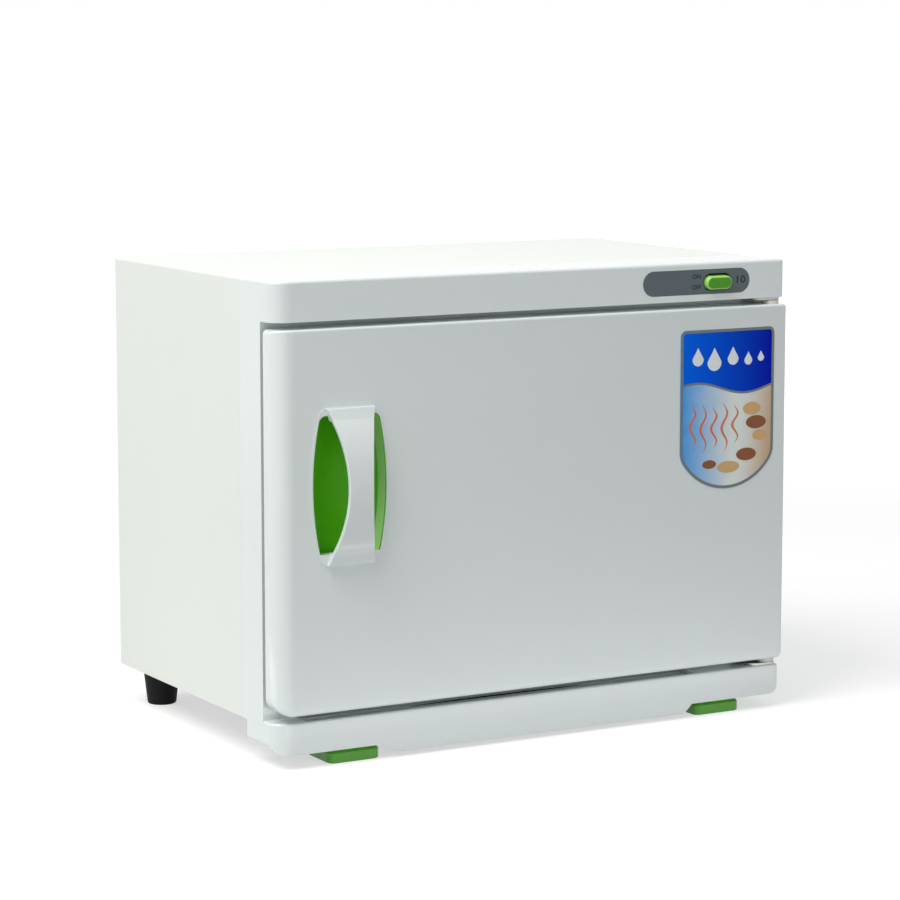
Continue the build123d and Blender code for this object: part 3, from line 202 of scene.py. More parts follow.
def soft_box(name, direction, distance, side, watts, tint):
    """A square lamp that looks at the cabinet's middle from a direction."""
    lamp = bpy.data.lights.new(name, "AREA")
    lamp.shape = "SQUARE"
    lamp.size = side
    lamp.energy = watts
    lamp.color = tint
    holder = bpy.data.objects.new(name, lamp)
    holder.location = object_middle + Vector(direction).normalized() * distance
    holder.rotation_euler = Vector(direction).to_track_quat("Z", "Y").to_euler()
    bpy.context.scene.collection.objects.link(holder)
    return holder


key_box = soft_box(
    "key_soft_box",
    direction=(-0.52, -0.16, 0.75),
    distance=3.0,
    side=1.8,
    watts=72.0,
    tint=(1.0, 0.985, 0.955),
)
top_box = soft_box(
    "top_soft_box",
    direction=(0.05, 0.0, 1.0),
    distance=2.5,
    side=1.2,
    watts=8.0,
    tint=(1.0, 1.0, 1.0),
)
print("soft boxes at", [[round(x, 2) for x in box.location] for box in (key_box, top_box)])

# %% [markdown]
# The photograph shows a bright upright line where the door's left side rounds over, and the front
# grows brighter towards the table. A tall narrow box in front makes the line, because a rounded
# edge mirrors it, and two low cards, before and beside the cabinet, throw light at its foot. A
# stronger main lamp could do neither: it would only wash out the whole front.
# %% Narrow box and low cards
def light_card(name, place, aim, across, high, watts):
    """A rectangular lamp at a place that looks at another place."""
    lamp = bpy.data.lights.new(name, "AREA")
    lamp.shape = "RECTANGLE"
    lamp.size = across
    lamp.size_y = high
    lamp.energy = watts
    holder = bpy.data.objects.new(name, lamp)
    holder.location = place
    away = Vector(place) - Vector(aim)
    holder.rotation_euler = away.to_track_quat("Z", "Y").to_euler()
    bpy.context.scene.collection.objects.link(holder)
    return holder


edge_box = light_card(
    "edge_strip_box", (0.52, -2.50, 0.55), object_middle, across=0.06, high=1.7, watts=1.1
)
grip_reach = 25 * mm
front_y = cad_box[0].y + grip_reach
foot_aim = Vector((0.02, front_y, 0.02))
foot_place = foot_aim - Vector((0.0, 0.10, 0.01))
foot_card = light_card("foot_card", foot_place, foot_aim, across=0.55, high=0.02, watts=0.05)
side_aim = Vector((cad_box[0].x, 0.03, 0.05))
side_place = side_aim - Vector((0.2, 0.0, 0.03))
side_card = light_card("side_card", side_place, side_aim, across=0.30, high=0.03, watts=0.04)
print("cards:", [card.name for card in (edge_box, foot_card, side_card)])


# %% [markdown]
# Several finishes share the same small effects: moulded skin that isn't quite flat, a tone that
# drifts a little over a large panel, brushed lines in metal, and dust where nobody wipes. Each
# effect is a node group, built once, with its own named inputs, so that every finish sets its
# own scale and strength. The first helper makes an empty group with its sockets.
# %% Helpers for node groups
def empty_group(name, inputs, outputs):
    """A shader group with named sockets, its input and its output node."""
    group = bpy.data.node_groups.new(name, "ShaderNodeTree")
    for title, kind, value in inputs:
        socket = group.interface.new_socket(name=title, in_out="INPUT", socket_type=kind)
        socket.default_value = value
    for title, kind in outputs:
        group.interface.new_socket(name=title, in_out="OUTPUT", socket_type=kind)
    return group, group.nodes.new("NodeGroupInput"), group.nodes.new("NodeGroupOutput")


def number(tree, operation, first, second):
    """A math node on two sockets or plain numbers, as one output socket."""
    node = tree.nodes.new("ShaderNodeMath")
    node.operation = operation
    for slot, term in enumerate((first, second)):
        if isinstance(term, (int, float)):
            node.inputs[slot].default_value = term
        else:
            tree.links.new(term, node.inputs[slot])
    return node.outputs[0]


def noise(tree, place, scale, detail, roughness=0.5):
    """A noise texture over a place; scale may be a socket or a number."""
    node = tree.nodes.new("ShaderNodeTexNoise")
    node.inputs["Detail"].default_value = detail
    node.inputs["Roughness"].default_value = roughness
    tree.links.new(place, node.inputs["Vector"])
    if isinstance(scale, (int, float)):
        node.inputs["Scale"].default_value = scale
    else:
        tree.links.new(scale, node.inputs["Scale"])
    return node.outputs["Fac"]


def mixed(tree, share, first, second):
    """A colour between two colours; each may be a socket or a plain colour."""
    node = tree.nodes.new("ShaderNodeMix")
    node.data_type = "RGBA"
    for title, term in (("Factor_Float", share), ("A_Color", first), ("B_Color", second)):
        socket = next(s for s in node.inputs if s.identifier == title)
        if isinstance(term, bpy.types.NodeSocket):
            tree.links.new(term, socket)
        else:
            socket.default_value = term
    return next(s for s in node.outputs if s.identifier == "Result_Color")


def own_place(tree):
    """The place on the piece itself, which stays with the piece when it moves."""
    return tree.nodes.new("ShaderNodeTexCoord").outputs["Object"]


# %% [markdown]
# Sprayed or powder-coated paint flows before it sets, and a moulding cools unevenly. Both leave a
# skin with fine dimples over long, shallow waves, which shows only in reflections. Real dimples
# could be modelled, but they are a few hundredths of a millimetre high, so a height that feeds a
# Bump node is enough.
# %% Group: uneven skin
skin_group, skin_in, skin_out = empty_group(
    "uneven_skin",
    [
        ("Dimples per Metre", "NodeSocketFloat", 700.0),
        ("Waves per Metre", "NodeSocketFloat", 14.0),
        ("Wave Share", "NodeSocketFloat", 0.5),
    ],
    [("Height", "NodeSocketFloat")],
)
skin_place = own_place(skin_group)
dimples = noise(skin_group, skin_place, skin_in.outputs["Dimples per Metre"], detail=2.0)
waves = noise(skin_group, skin_place, skin_in.outputs["Waves per Metre"], detail=1.0)
wave_part = number(skin_group, "MULTIPLY", waves, skin_in.outputs["Wave Share"])
dimple_part = number(
    skin_group,
    "MULTIPLY",
    dimples,
    number(skin_group, "SUBTRACT", 1.0, skin_in.outputs["Wave Share"]),
)
skin_group.links.new(
    number(skin_group, "ADD", wave_part, dimple_part), skin_out.inputs["Height"]
)
print("group", skin_group.name, "with", len(skin_group.nodes), "nodes")


# %% [markdown]
# No large panel has exactly one colour: the coat is a little thicker here and thinner there.
# This group drifts a colour towards a darker and a lighter shade over broad patches, with a fine
# speckle on top. Its share output also varies the gloss.
# %% Group: drifting tone
tone_group, tone_in, tone_out = empty_group(
    "drifting_tone",
    [
        ("Color", "NodeSocketColor", (0.8, 0.8, 0.8, 1.0)),
        ("Second Color", "NodeSocketColor", (0.7, 0.7, 0.7, 1.0)),
        ("Patches per Metre", "NodeSocketFloat", 6.0),
        ("Speckles per Metre", "NodeSocketFloat", 400.0),
    ],
    [("Color", "NodeSocketColor"), ("Share", "NodeSocketFloat")],
)
tone_place = own_place(tone_group)
patches = noise(tone_group, tone_place, tone_in.outputs["Patches per Metre"], detail=3.0)
speckles = noise(tone_group, tone_place, tone_in.outputs["Speckles per Metre"], detail=2.0)
patch_weight, speckle_weight = 0.7, 0.3
tone_share = number(
    tone_group,
    "ADD",
    number(tone_group, "MULTIPLY", patches, patch_weight),
    number(tone_group, "MULTIPLY", speckles, speckle_weight),
)
tone_group.links.new(
    mixed(tone_group, tone_share, tone_in.outputs["Color"], tone_in.outputs["Second Color"]),
    tone_out.inputs["Color"],
)
tone_group.links.new(tone_share, tone_out.inputs["Share"])
print("group", tone_group.name, "with", len(tone_group.nodes), "nodes")


# %% [markdown]
# Rolled and brushed metal carries fine lines that all run one way. A noise that is stretched far
# along one axis gives such lines at any size. The group puts out their height for the Bump node
# and a shade that varies the gloss from line to line.
# %% Group: drawn lines
lines_group, lines_in, lines_out = empty_group(
    "drawn_lines",
    [
        ("Across", "NodeSocketVector", (2200.0, 2200.0, 25.0)),
        ("Blotches per Metre", "NodeSocketFloat", 9.0),
    ],
    [("Height", "NodeSocketFloat"), ("Shade", "NodeSocketFloat")],
)
stretched = lines_group.nodes.new("ShaderNodeVectorMath")
stretched.operation = "MULTIPLY"
lines_group.links.new(own_place(lines_group), stretched.inputs[0])
lines_group.links.new(lines_in.outputs["Across"], stretched.inputs[1])
line_height = noise(lines_group, stretched.outputs[0], 1.0, detail=4.0, roughness=0.65)
blotches = noise(
    lines_group, own_place(lines_group), lines_in.outputs["Blotches per Metre"], detail=3.0
)
line_weight, blotch_weight = 0.55, 0.45
lines_group.links.new(line_height, lines_out.inputs["Height"])
lines_group.links.new(
    number(
        lines_group,
        "ADD",
        number(lines_group, "MULTIPLY", line_height, line_weight),
        number(lines_group, "MULTIPLY", blotches, blotch_weight),
    ),
    lines_out.inputs["Shade"],
)
print("group", lines_group.name, "with", len(lines_group.nodes), "nodes")


# %% [markdown]
# Dust lies on what faces up and stays out of what is wiped. The group looks at how far a surface
# faces up, breaks that up with a noise, and puts out the dusted colour and the dust's share.
# %% Group: settled dust
dust_group, dust_in, dust_out = empty_group(
    "settled_dust",
    [
        ("Color", "NodeSocketColor", (0.8, 0.8, 0.8, 1.0)),
        ("Dust Color", "NodeSocketColor", (0.55, 0.53, 0.5, 1.0)),
        ("Amount", "NodeSocketFloat", 0.1),
    ],
    [("Color", "NodeSocketColor"), ("Share", "NodeSocketFloat")],
)
facing_up = dust_group.nodes.new("ShaderNodeSeparateXYZ")
dust_group.links.new(
    dust_group.nodes.new("ShaderNodeNewGeometry").outputs["Normal"], facing_up.inputs[0]
)
lying = number(dust_group, "MAXIMUM", facing_up.outputs["Z"], 0.0)
flecks_per_metre = 180.0
flecks = noise(dust_group, own_place(dust_group), flecks_per_metre, detail=6.0, roughness=0.7)
dust_share = number(
    dust_group,
    "MULTIPLY",
    number(dust_group, "MULTIPLY", lying, flecks),
    dust_in.outputs["Amount"],
)
dust_group.links.new(
    mixed(dust_group, dust_share, dust_in.outputs["Color"], dust_in.outputs["Dust Color"]),
    dust_out.inputs["Color"],
)
dust_group.links.new(dust_share, dust_out.inputs["Share"])
print("shared effects:", sorted(group.name for group in bpy.data.node_groups))


# %% [markdown]
# Every finish starts in the same way: an empty material with a Principled shader, whose plain
# values are set on its own sockets. These helpers make one, place a group in it with the finish's
# own values, and wire a height into the shader's normal through a Bump node. A Bevel node in
# front of the Bump rounds sharp edges for the light alone, as a press or a mould leaves them.
# The last helper lists the pieces that wear a finish.
# %% Helpers for finishes
finishes = {}


def new_finish(slot_name, **plain_values):
    """An empty material with a Principled shader, and plain values on its own sockets."""
    material = bpy.data.materials.new(slot_name)
    material.use_nodes = True
    tree = material.node_tree
    tree.nodes.clear()
    out = tree.nodes.new("ShaderNodeOutputMaterial")
    shader = tree.nodes.new("ShaderNodeBsdfPrincipled")
    tree.links.new(shader.outputs["BSDF"], out.inputs["Surface"])
    for title, value in plain_values.items():
        shader.inputs[title.replace("_", " ")].default_value = value
    finishes[slot_name] = material
    return tree, shader


def place_group(tree, group, **values):
    """A group in a material, with this finish's own values."""
    node = tree.nodes.new("ShaderNodeGroup")
    node.node_tree = group
    for title, value in values.items():
        node.inputs[title.replace("_", " ")].default_value = value
    return node


def raise_surface(tree, shader, height, depth, edge_round=0.0004):
    """Wires a height, this deep in metres, into the shader's normal over rounded edges."""
    rounded = tree.nodes.new("ShaderNodeBevel")
    rounded.samples = 4
    rounded.inputs["Radius"].default_value = edge_round
    bump = tree.nodes.new("ShaderNodeBump")
    bump.inputs["Distance"].default_value = depth
    tree.links.new(height, bump.inputs["Height"])
    tree.links.new(rounded.outputs["Normal"], bump.inputs["Normal"])
    tree.links.new(bump.outputs["Normal"], shader.inputs["Normal"])


def vary_roughness(tree, shader, share, low, high):
    """Lets a share that varies over the surface choose the roughness between two values."""
    spread = tree.nodes.new("ShaderNodeMapRange")
    spread.inputs["To Min"].default_value = low
    spread.inputs["To Max"].default_value = high
    tree.links.new(share, spread.inputs["Value"])
    tree.links.new(spread.outputs["Result"], shader.inputs["Roughness"])


def coloured_skin(slot_name, colour, second, rough, skin, depth, dust=0.0, **plain):
    """A coloured moulding or coat: a drifting tone, a little dust and an uneven skin.

    rough is the lowest and highest roughness, skin the dimples per metre, the waves per metre
    and the waves' share, and depth the skin's height in metres.
    """
    tree, shader = new_finish(slot_name, **plain)
    tone = place_group(tree, tone_group, Color=colour, Second_Color=second)
    dusted = place_group(tree, dust_group, Amount=dust)
    tree.links.new(tone.outputs["Color"], dusted.inputs["Color"])
    tree.links.new(dusted.outputs["Color"], shader.inputs["Base Color"])
    vary_roughness(tree, shader, tone.outputs["Share"], *rough)
    dimples_per_metre, waves_per_metre, wave_share = skin
    surface = place_group(
        tree,
        skin_group,
        Dimples_per_Metre=dimples_per_metre,
        Waves_per_Metre=waves_per_metre,
        Wave_Share=wave_share,
    )
    raise_surface(tree, shader, surface.outputs["Height"], depth)
    return tree, shader


def drawn_metal(slot_name, bright, dull, rough, across, depth):
    """A bare metal with lines drawn in it, whose gloss changes from line to line."""
    tree, shader = new_finish(slot_name, Metallic=1.0)
    lines = place_group(tree, lines_group, Across=across)
    tree.links.new(
        mixed(tree, lines.outputs["Shade"], bright, dull), shader.inputs["Base Color"]
    )
    vary_roughness(tree, shader, lines.outputs["Shade"], *rough)
    raise_surface(tree, shader, lines.outputs["Height"], depth)


def wearers(slot_name):
    """The nodes that the record gives a slot."""
    subparts = frame["record"]["subparts"]
    return [entry["node"] for entry in subparts if entry["material_slot"] == slot_name]


# %% [markdown]
# The wrapper, back and floor of the cabinet are steel sheet with a white powder coat. The coat has
# a faint orange peel and is slightly warm beside the cooler mouldings.
# %% Finish: powder-coated steel
coloured_skin(
    "painted_white",
    seen(236, 240, 235),
    seen(231, 236, 231),
    rough=(0.26, 0.36),
    skin=(420.0, 9.0, 0.55),
    depth=0.00006,
    dust=0.10,
)
print("powder coat on", wearers("painted_white"))

# %% [markdown]
# The door, the front frame, the plinth and the grip are glossy white mouldings. A moulding mirrors
# more sharply than paint does, with long soft waves where it shrank over its ribs.
# %% Finish: glossy white moulding
coloured_skin(
    "gloss_white",
    seen(231, 238, 238),
    seen(227, 234, 235),
    rough=(0.14, 0.22),
    skin=(260.0, 7.0, 0.8),
    depth=0.00005,
    dust=0.05,
    Coat_Weight=0.5,
    Coat_Roughness=0.05,
)
print("glossy moulding on", wearers("gloss_white"))

# %% [markdown]
# The strip behind the power switch is a satin grey inlay, and the switch, the front pads and the
# cup behind the grip are moulded in one leaf green, whose polished mould leaves a clear gloss.
# %% Finishes: grey inlay and leaf green
coloured_skin(
    "control_grey",
    seen(86, 97, 104),
    seen(78, 90, 97),
    rough=(0.38, 0.50),
    skin=(1400.0, 12.0, 0.2),
    depth=0.00002,
)
leaf = dict(
    colour=seen(84, 170, 14),
    second=seen(72, 156, 8),
    rough=(0.20, 0.28),
    skin=(600.0, 20.0, 0.5),
    depth=0.00004,
)
coloured_skin("leaf_green", **leaf, Coat_Weight=0.3, Coat_Roughness=0.08)
print("inlay on", wearers("control_grey"), "and green on", wearers("leaf_green"))

# %% [markdown]
# The rocker is the same green, but its rounded rim is painted much paler than its flat face, a
# painted highlight where the rim would catch the light. In the cup, the wall that faces the light
# is painted paler than the hollow, also a painted highlight. How far the surface turns towards one
# axis of the piece tells rim from face and wall from hollow, and that share mixes in the paler
# green of the painted highlight.
# %% Finishes: green rocker and cup with painted highlights
def paint_highlight_on_turn(tree, shader, axis, start, full, most, colour):
    """Mixes in a painted highlight, a paler colour where the normal along an axis goes from start
    to full.
    """
    turned = tree.nodes.new("ShaderNodeSeparateXYZ")
    tree.links.new(tree.nodes.new("ShaderNodeTexCoord").outputs["Normal"], turned.inputs[0])
    share = tree.nodes.new("ShaderNodeMapRange")
    share.interpolation_type = "SMOOTHSTEP"
    share.inputs["From Min"].default_value = start
    share.inputs["From Max"].default_value = full
    share.inputs["To Max"].default_value = most
    tree.links.new(turned.outputs[axis], share.inputs["Value"])
    face_colour = shader.inputs["Base Color"].links[0].from_socket
    tree.links.new(
        mixed(tree, share.outputs["Result"], face_colour, colour), shader.inputs["Base Color"]
    )


rocker = coloured_skin("rocker_green_painted_highlight", **leaf, Specular_IOR_Level=0.3)
# Painted highlight: the rocker's rounded rim is painted paler than its flat face.
paint_highlight_on_turn(*rocker, "Y", start=-0.985, full=-0.80, most=0.75, colour=seen(186, 240, 132))
cup_leaf = dict(leaf, colour=seen(92, 192, 20), second=seen(80, 178, 12))
cup = coloured_skin("cup_green_painted_highlight", **cup_leaf, Specular_IOR_Level=0.15)
# Painted highlight: the cup's wall that faces the light is painted paler than the hollow.
paint_highlight_on_turn(*cup, "X", start=-0.25, full=-0.80, most=0.8, colour=seen(206, 246, 170))
print("nodes in the rocker's green:", len(rocker[0].nodes), "and the cup's:", len(cup[0].nodes))

# %% [markdown]
# Feet are black rubber, dull and a little dusty from the table. The door's seal is a softer grey
# rubber, and the supply lead has a smooth black sleeve.
# %% Finishes: rubbers
# Each row: colour, second colour, roughness, skin and depth, as coloured_skin takes them.
rubbers = {
    "foot_rubber": (seen(16, 16, 17), seen(10, 10, 11), (0.55, 0.75), (1600.0, 30.0, 0.2), 0.00012),
    "grey_rubber": (
        seen(168, 173, 174),
        seen(152, 157, 158),
        (0.5, 0.68),
        (1200.0, 25.0, 0.2),
        0.00008,
    ),
    "lead_cover": (seen(34, 34, 36), seen(26, 26, 28), (0.35, 0.5), (900.0, 40.0, 0.3), 0.00006),
}
for rubber_name, rubber_values in rubbers.items():
    coloured_skin(rubber_name, *rubber_values, dust=0.1, Specular_IOR_Level=0.2)
print("rubbers:", list(rubbers))

# %% [markdown]
# A foam strip closes the slot at the foot of the seat. It is pale behind the slot, where it catches
# light under the door. In the pocket beside the lower hinge it is painted black, as painted shade
# for that deep pocket.
# %% Finish: foam strip with painted shade in the hinge pocket
strip_tree, strip_shader = coloured_skin(
    "strip_foam_pocket_shade",
    seen(226, 232, 230),
    seen(214, 221, 219),
    rough=(0.5, 0.7),
    skin=(900.0, 30.0, 0.3),
    depth=0.00006,
    Specular_IOR_Level=0.2,
)
strip_place = strip_tree.nodes.new("ShaderNodeSeparateXYZ")
strip_tree.links.new(own_place(strip_tree), strip_place.inputs[0])
pale_until, pocket_shade_from = 160.0 * mm, 165.0 * mm
pocket_shade_share = strip_tree.nodes.new("ShaderNodeMapRange")
pocket_shade_share.inputs["From Min"].default_value = pale_until
pocket_shade_share.inputs["From Max"].default_value = pocket_shade_from
strip_tree.links.new(strip_place.outputs["X"], pocket_shade_share.inputs["Value"])
pale_foam = strip_shader.inputs["Base Color"].links[0].from_socket
# Towards the hinge the foam is painted black: painted shade for the deep pocket beside the lower
# hinge.
strip_tree.links.new(
    mixed(strip_tree, pocket_shade_share.outputs["Result"], pale_foam, seen(16, 16, 17)),
    strip_shader.inputs["Base Color"],
)
print("foam strip turns black from x =", round(pocket_shade_from, 3))

# %% [markdown]
# The chamber is thin aluminium sheet, rolled along its length and a little cloudy from steam.
# Brackets, screws and small covers are zinc-plated steel, which is duller and greyer, and the
# switch's terminals are brass.
# %% Finishes: sheet metals
drawn_metal(
    "liner_aluminium",
    seen(226, 228, 230),
    seen(204, 207, 210),
    rough=(0.24, 0.42),
    across=(30.0, 1800.0, 1800.0),
    depth=0.00003,
)
drawn_metal(
    "zinc_steel",
    seen(186, 187, 184),
    seen(150, 152, 150),
    rough=(0.28, 0.46),
    across=(700.0, 700.0, 700.0),
    depth=0.00002,
)
drawn_metal(
    "terminal_brass",
    seen(214, 178, 98),
    seen(186, 146, 76),
    rough=(0.25, 0.42),
    across=(900.0, 60.0, 900.0),
    depth=0.00002,
)
print("zinc plate on", wearers("zinc_steel"))

# %% [markdown]
# The baskets are steel wire with a bright plating. The plating mirrors the chamber, so it needs
# hardly any texture: only a slight haze that comes and goes.
# %% Finish: plated wire
drawn_metal(
    "chrome_wire",
    seen(232, 233, 235),
    seen(210, 212, 216),
    rough=(0.06, 0.20),
    across=(160.0, 160.0, 160.0),
    depth=0.00001,
)
print("plated wire on", wearers("chrome_wire"))

# %% [markdown]
# Inside the walls lie loose insulation and an amber heating film, and the small electrical parts
# are black, white or natural mouldings, fired ceramic and dark ferrite.
# %% Finishes: hidden and electrical pieces
# Each row: colour, second colour, roughness, skin and depth.
hidden_finishes = {
    "foam": ((226, 220, 200), (205, 196, 172), (0.85, 0.98), (500.0, 60.0, 0.5), 0.0008),
    "heater_film": ((184, 124, 52), (160, 98, 36), (0.22, 0.40), (300.0, 20.0, 0.5), 0.00006),
    "black_plastic": ((44, 45, 47), (34, 35, 37), (0.34, 0.50), (1500.0, 20.0, 0.2), 0.00005),
    "nylon": ((232, 230, 218), (220, 217, 203), (0.34, 0.48), (800.0, 30.0, 0.3), 0.00005),
    "magnet_ferrite": ((70, 70, 73), (54, 54, 57), (0.45, 0.62), (2200.0, 60.0, 0.2), 0.00006),
    "ceramic_white": ((238, 236, 228), (228, 225, 214), (0.16, 0.26), (700.0, 20.0, 0.5), 0.00005),
}
for hidden_name, (colour, second, rough, skin, depth) in hidden_finishes.items():
    coloured_skin(hidden_name, seen(*colour), seen(*second), rough, skin, depth, dust=0.04)
print("hidden finishes:", list(hidden_finishes))

# %% [markdown]
# The lamp is a clear quartz tube. Glass keeps plain values for metal and transmission; only its
# gloss changes, where fingers have left a faint haze.
# %% Finish: quartz tube
glass_tree, glass_shader = new_finish(
    "lamp_glass", Base_Color=(0.93, 0.96, 1.0, 1.0), Transmission_Weight=1.0, IOR=1.46
)
haze_per_metre = 60.0
haze = noise(glass_tree, own_place(glass_tree), haze_per_metre, detail=3.0)
vary_roughness(glass_tree, glass_shader, haze, low=0.01, high=0.09)
print("quartz on", wearers("lamp_glass"))

# %% [markdown]
# The label on the door is printed film. Its ground runs from water blue at the left over white to
# warm sand at the lower right, under a deep blue head. The ground is painted here by place, and
# the shapes on it follow further below as thin printed pieces.
# %% Finish: printed label ground
label_low, label_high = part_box("door_label")
label_centre_x = (label_low.x + label_high.x) / 2
label_half_width = (label_high.x - label_low.x) / 2
label_height = label_high.z - label_low.z

print_tree, print_shader = new_finish("label_print", Specular_IOR_Level=0.2)
print_place = print_tree.nodes.new("ShaderNodeSeparateXYZ")
print_tree.links.new(own_place(print_tree), print_place.inputs[0])
across_label = number(
    print_tree,
    "DIVIDE",
    number(print_tree, "SUBTRACT", print_place.outputs["X"], label_low.x),
    2 * label_half_width,
)
up_label = number(
    print_tree,
    "DIVIDE",
    number(print_tree, "SUBTRACT", print_place.outputs["Z"], label_low.z),
    label_height,
)
clouds_per_metre = 45.0
cloud = noise(print_tree, own_place(print_tree), clouds_per_metre, detail=4.0, roughness=0.6)
cloud_push, sand_lean = 0.15, 0.15
blue_to_white = print_tree.nodes.new("ShaderNodeValToRGB")
blue_to_white.color_ramp.elements[0].position = 0.08
blue_to_white.color_ramp.elements[0].color = seen(30, 160, 244)
blue_to_white.color_ramp.elements[1].position = 0.62
blue_to_white.color_ramp.elements[1].color = seen(236, 242, 240)
print_tree.links.new(
    number(print_tree, "ADD", across_label, number(print_tree, "MULTIPLY", cloud, cloud_push)),
    blue_to_white.inputs["Fac"],
)
sand_share = print_tree.nodes.new("ShaderNodeMapRange")
sand_share.interpolation_type = "SMOOTHSTEP"
sand_share.inputs["From Min"].default_value = 0.55
sand_share.inputs["From Max"].default_value = 1.05
print_tree.links.new(
    number(
        print_tree, "SUBTRACT", across_label, number(print_tree, "MULTIPLY", up_label, sand_lean)
    ),
    sand_share.inputs["Value"],
)
print_tree.links.new(
    mixed(
        print_tree,
        sand_share.outputs["Result"],
        blue_to_white.outputs["Color"],
        seen(206, 158, 100),
    ),
    print_shader.inputs["Base Color"],
)
vary_roughness(print_tree, print_shader, cloud, low=0.2, high=0.3)
print("label:", round(2 * label_half_width / mm), "x", round(label_height / mm), "mm")

# %% [markdown]
# The record says which finish each piece takes, and three pieces take one of their own. Walking
# through the record keeps the pieces and their finishes in step, and shows at once if a slot has
# no finish yet.
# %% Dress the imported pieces
own_finish = {
    "switch_rocker": "rocker_green_painted_highlight",
    "handle_cup": "cup_green_painted_highlight",
    "foot_strips": "strip_foam_pocket_shade",
}
crease = math.radians(28.0)
for entry in frame["record"]["subparts"]:
    piece = nodes[entry["node"]]
    piece.data.materials.clear()
    finish_name = own_finish.get(entry["node"], entry["material_slot"])
    piece.data.materials.append(finishes[finish_name])
    piece.data.shade_smooth()
    piece.data.set_sharp_from_angle(angle=crease)

# %% [markdown]
# Print lies on a surface as a very thin layer of ink. Here each printed shape is a flat curve,
# filled and given a hair's thickness, then turned upright and laid on the surface it belongs to.
# A curve is right for this, because it fills any closed loop and leaves loops inside it open.
# %% Helpers for print
ink_thickness = 0.05 * mm
letter_swell = 0.02


def ink(name, colour, second, **plain):
    """Printing ink: one colour that lies a little thicker in places, under a thin varnish."""
    plain.setdefault("Specular_IOR_Level", 0.3)
    return coloured_skin(
        name, colour, second, rough=(0.24, 0.34), skin=(300.0, 30.0, 0.6), depth=0.000004, **plain
    )


def flat_loops(name, loops):
    """A filled flat curve from closed loops of (across, up) points in metres."""
    curve = bpy.data.curves.new(name, "CURVE")
    curve.dimensions = "2D"
    curve.fill_mode = "BOTH"
    for loop in loops:
        spline = curve.splines.new("POLY")
        spline.points.add(len(loop) - 1)
        for point, (across, up) in zip(spline.points, loop):
            point.co = (across, up, 0.0, 1.0)
        spline.use_cyclic_u = True
    return curve


def lettering(name, text, centre_x, centre_z, size):
    """A short word as a flat curve, and the move that centres it on a place of the front."""
    curve = bpy.data.curves.new(name, "FONT")
    curve.body = text
    curve.size = size
    curve.align_x = "CENTER"
    curve.align_y = "CENTER"
    curve.offset = letter_swell * size
    return curve, Matrix.Translation((centre_x, centre_z, 0.0))


def lay_flat(
    curve, surface_y, finish_name, body, layer=0, placed=None, thickness=ink_thickness
):
    """Turns a flat curve upright and lays it on a front surface, as a thin piece."""
    curve.extrude = thickness / 2
    flat = bpy.data.objects.new(curve.name + "_flat", curve)
    mesh = bpy.data.meshes.new_from_object(flat)
    bpy.data.objects.remove(flat)
    if placed is not None:
        mesh.transform(placed)
    mesh.transform(Matrix.Rotation(math.radians(90.0), 4, "X"))
    mesh.transform(Matrix.Translation((0.0, surface_y - (layer + 0.5) * thickness, 0.0)))
    mesh.materials.clear()
    mesh.materials.append(finishes[finish_name])
    piece = bpy.data.objects.new(curve.name, mesh)
    bpy.context.scene.collection.objects.link(piece)
    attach(piece, body)
    print("laid", piece.name, "with", len(mesh.polygons), "faces")


# %% [markdown]
# The grey inlay says which end of the rocker is which: ON above, OFF below, and on its other side
# the usual bar and ring. The words are set in Blender's own plain typeface.
# %% Marks beside the rocker
ink("mark_black", seen(12, 14, 16), seen(18, 20, 23))
plate_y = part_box("control_plate")[0].y
letter_size = 4.8 * mm
words_x = 142.0 * mm
for word, word_z in (("ON", 349.0 * mm), ("OFF", 340.7 * mm)):
    word_curve, word_place = lettering("mark_" + word.lower(), word, words_x, word_z, letter_size)
    lay_flat(word_curve, plate_y, "mark_black", "cabinet", placed=word_place)


def round_loop(centre_x, centre_z, across, up, steps=40):
    """An ellipse as a closed loop."""
    turns = [2 * math.pi * step / steps for step in range(steps)]
    return [(centre_x + across * math.cos(t), centre_z + up * math.sin(t)) for t in turns]


ring_x, bar_x, mark_z = 185.6 * mm, 180.4 * mm, 345.6 * mm
ring_sizes = ((2.3, 2.9), (1.2, 1.8))
ring_mark = [round_loop(ring_x, mark_z, across * mm, up * mm) for across, up in ring_sizes]
bar_half, bar_high = 0.65 * mm, 2.9 * mm
bar_mark = [
    (bar_x - bar_half, mark_z - bar_high),
    (bar_x + bar_half, mark_z - bar_high),
    (bar_x + bar_half, mark_z + bar_high),
    (bar_x - bar_half, mark_z + bar_high),
]
bar_and_ring = flat_loops("mark_bar_ring", ring_mark + [bar_mark])
lay_flat(bar_and_ring, plate_y, "mark_black", "cabinet")

# %% [markdown]
# In the gap under the door a black line of shade lies behind the plinth's upper edge and swells
# towards the middle. A black strip, cut as a long flat arch, paints that shade. The strip stands in
# the plinth's open top, close to the seat, and is one thin flat curve.
# %% Black strip of painted shade behind the plinth's edge
shade_strip_left, shade_strip_right = -194.0 * mm, 142.0 * mm
shade_strip_low, shade_strip_end_high, shade_strip_crown = 27.0 * mm, 30.3 * mm, 33.2 * mm
shade_strip_thick = 1.2 * mm
shade_strip_gap = 0.1 * mm
seat_depth = 20.0 * mm
seat_y = front_y + seat_depth
shade_strip_steps = 48
shade_strip_loop = [(shade_strip_left, shade_strip_low), (shade_strip_right, shade_strip_low)]
for step in range(shade_strip_steps + 1):
    share = step / shade_strip_steps
    arch = shade_strip_end_high + (shade_strip_crown - shade_strip_end_high) * math.sin(math.pi * share)
    shade_strip_loop.append((shade_strip_right + (shade_strip_left - shade_strip_right) * share, arch))
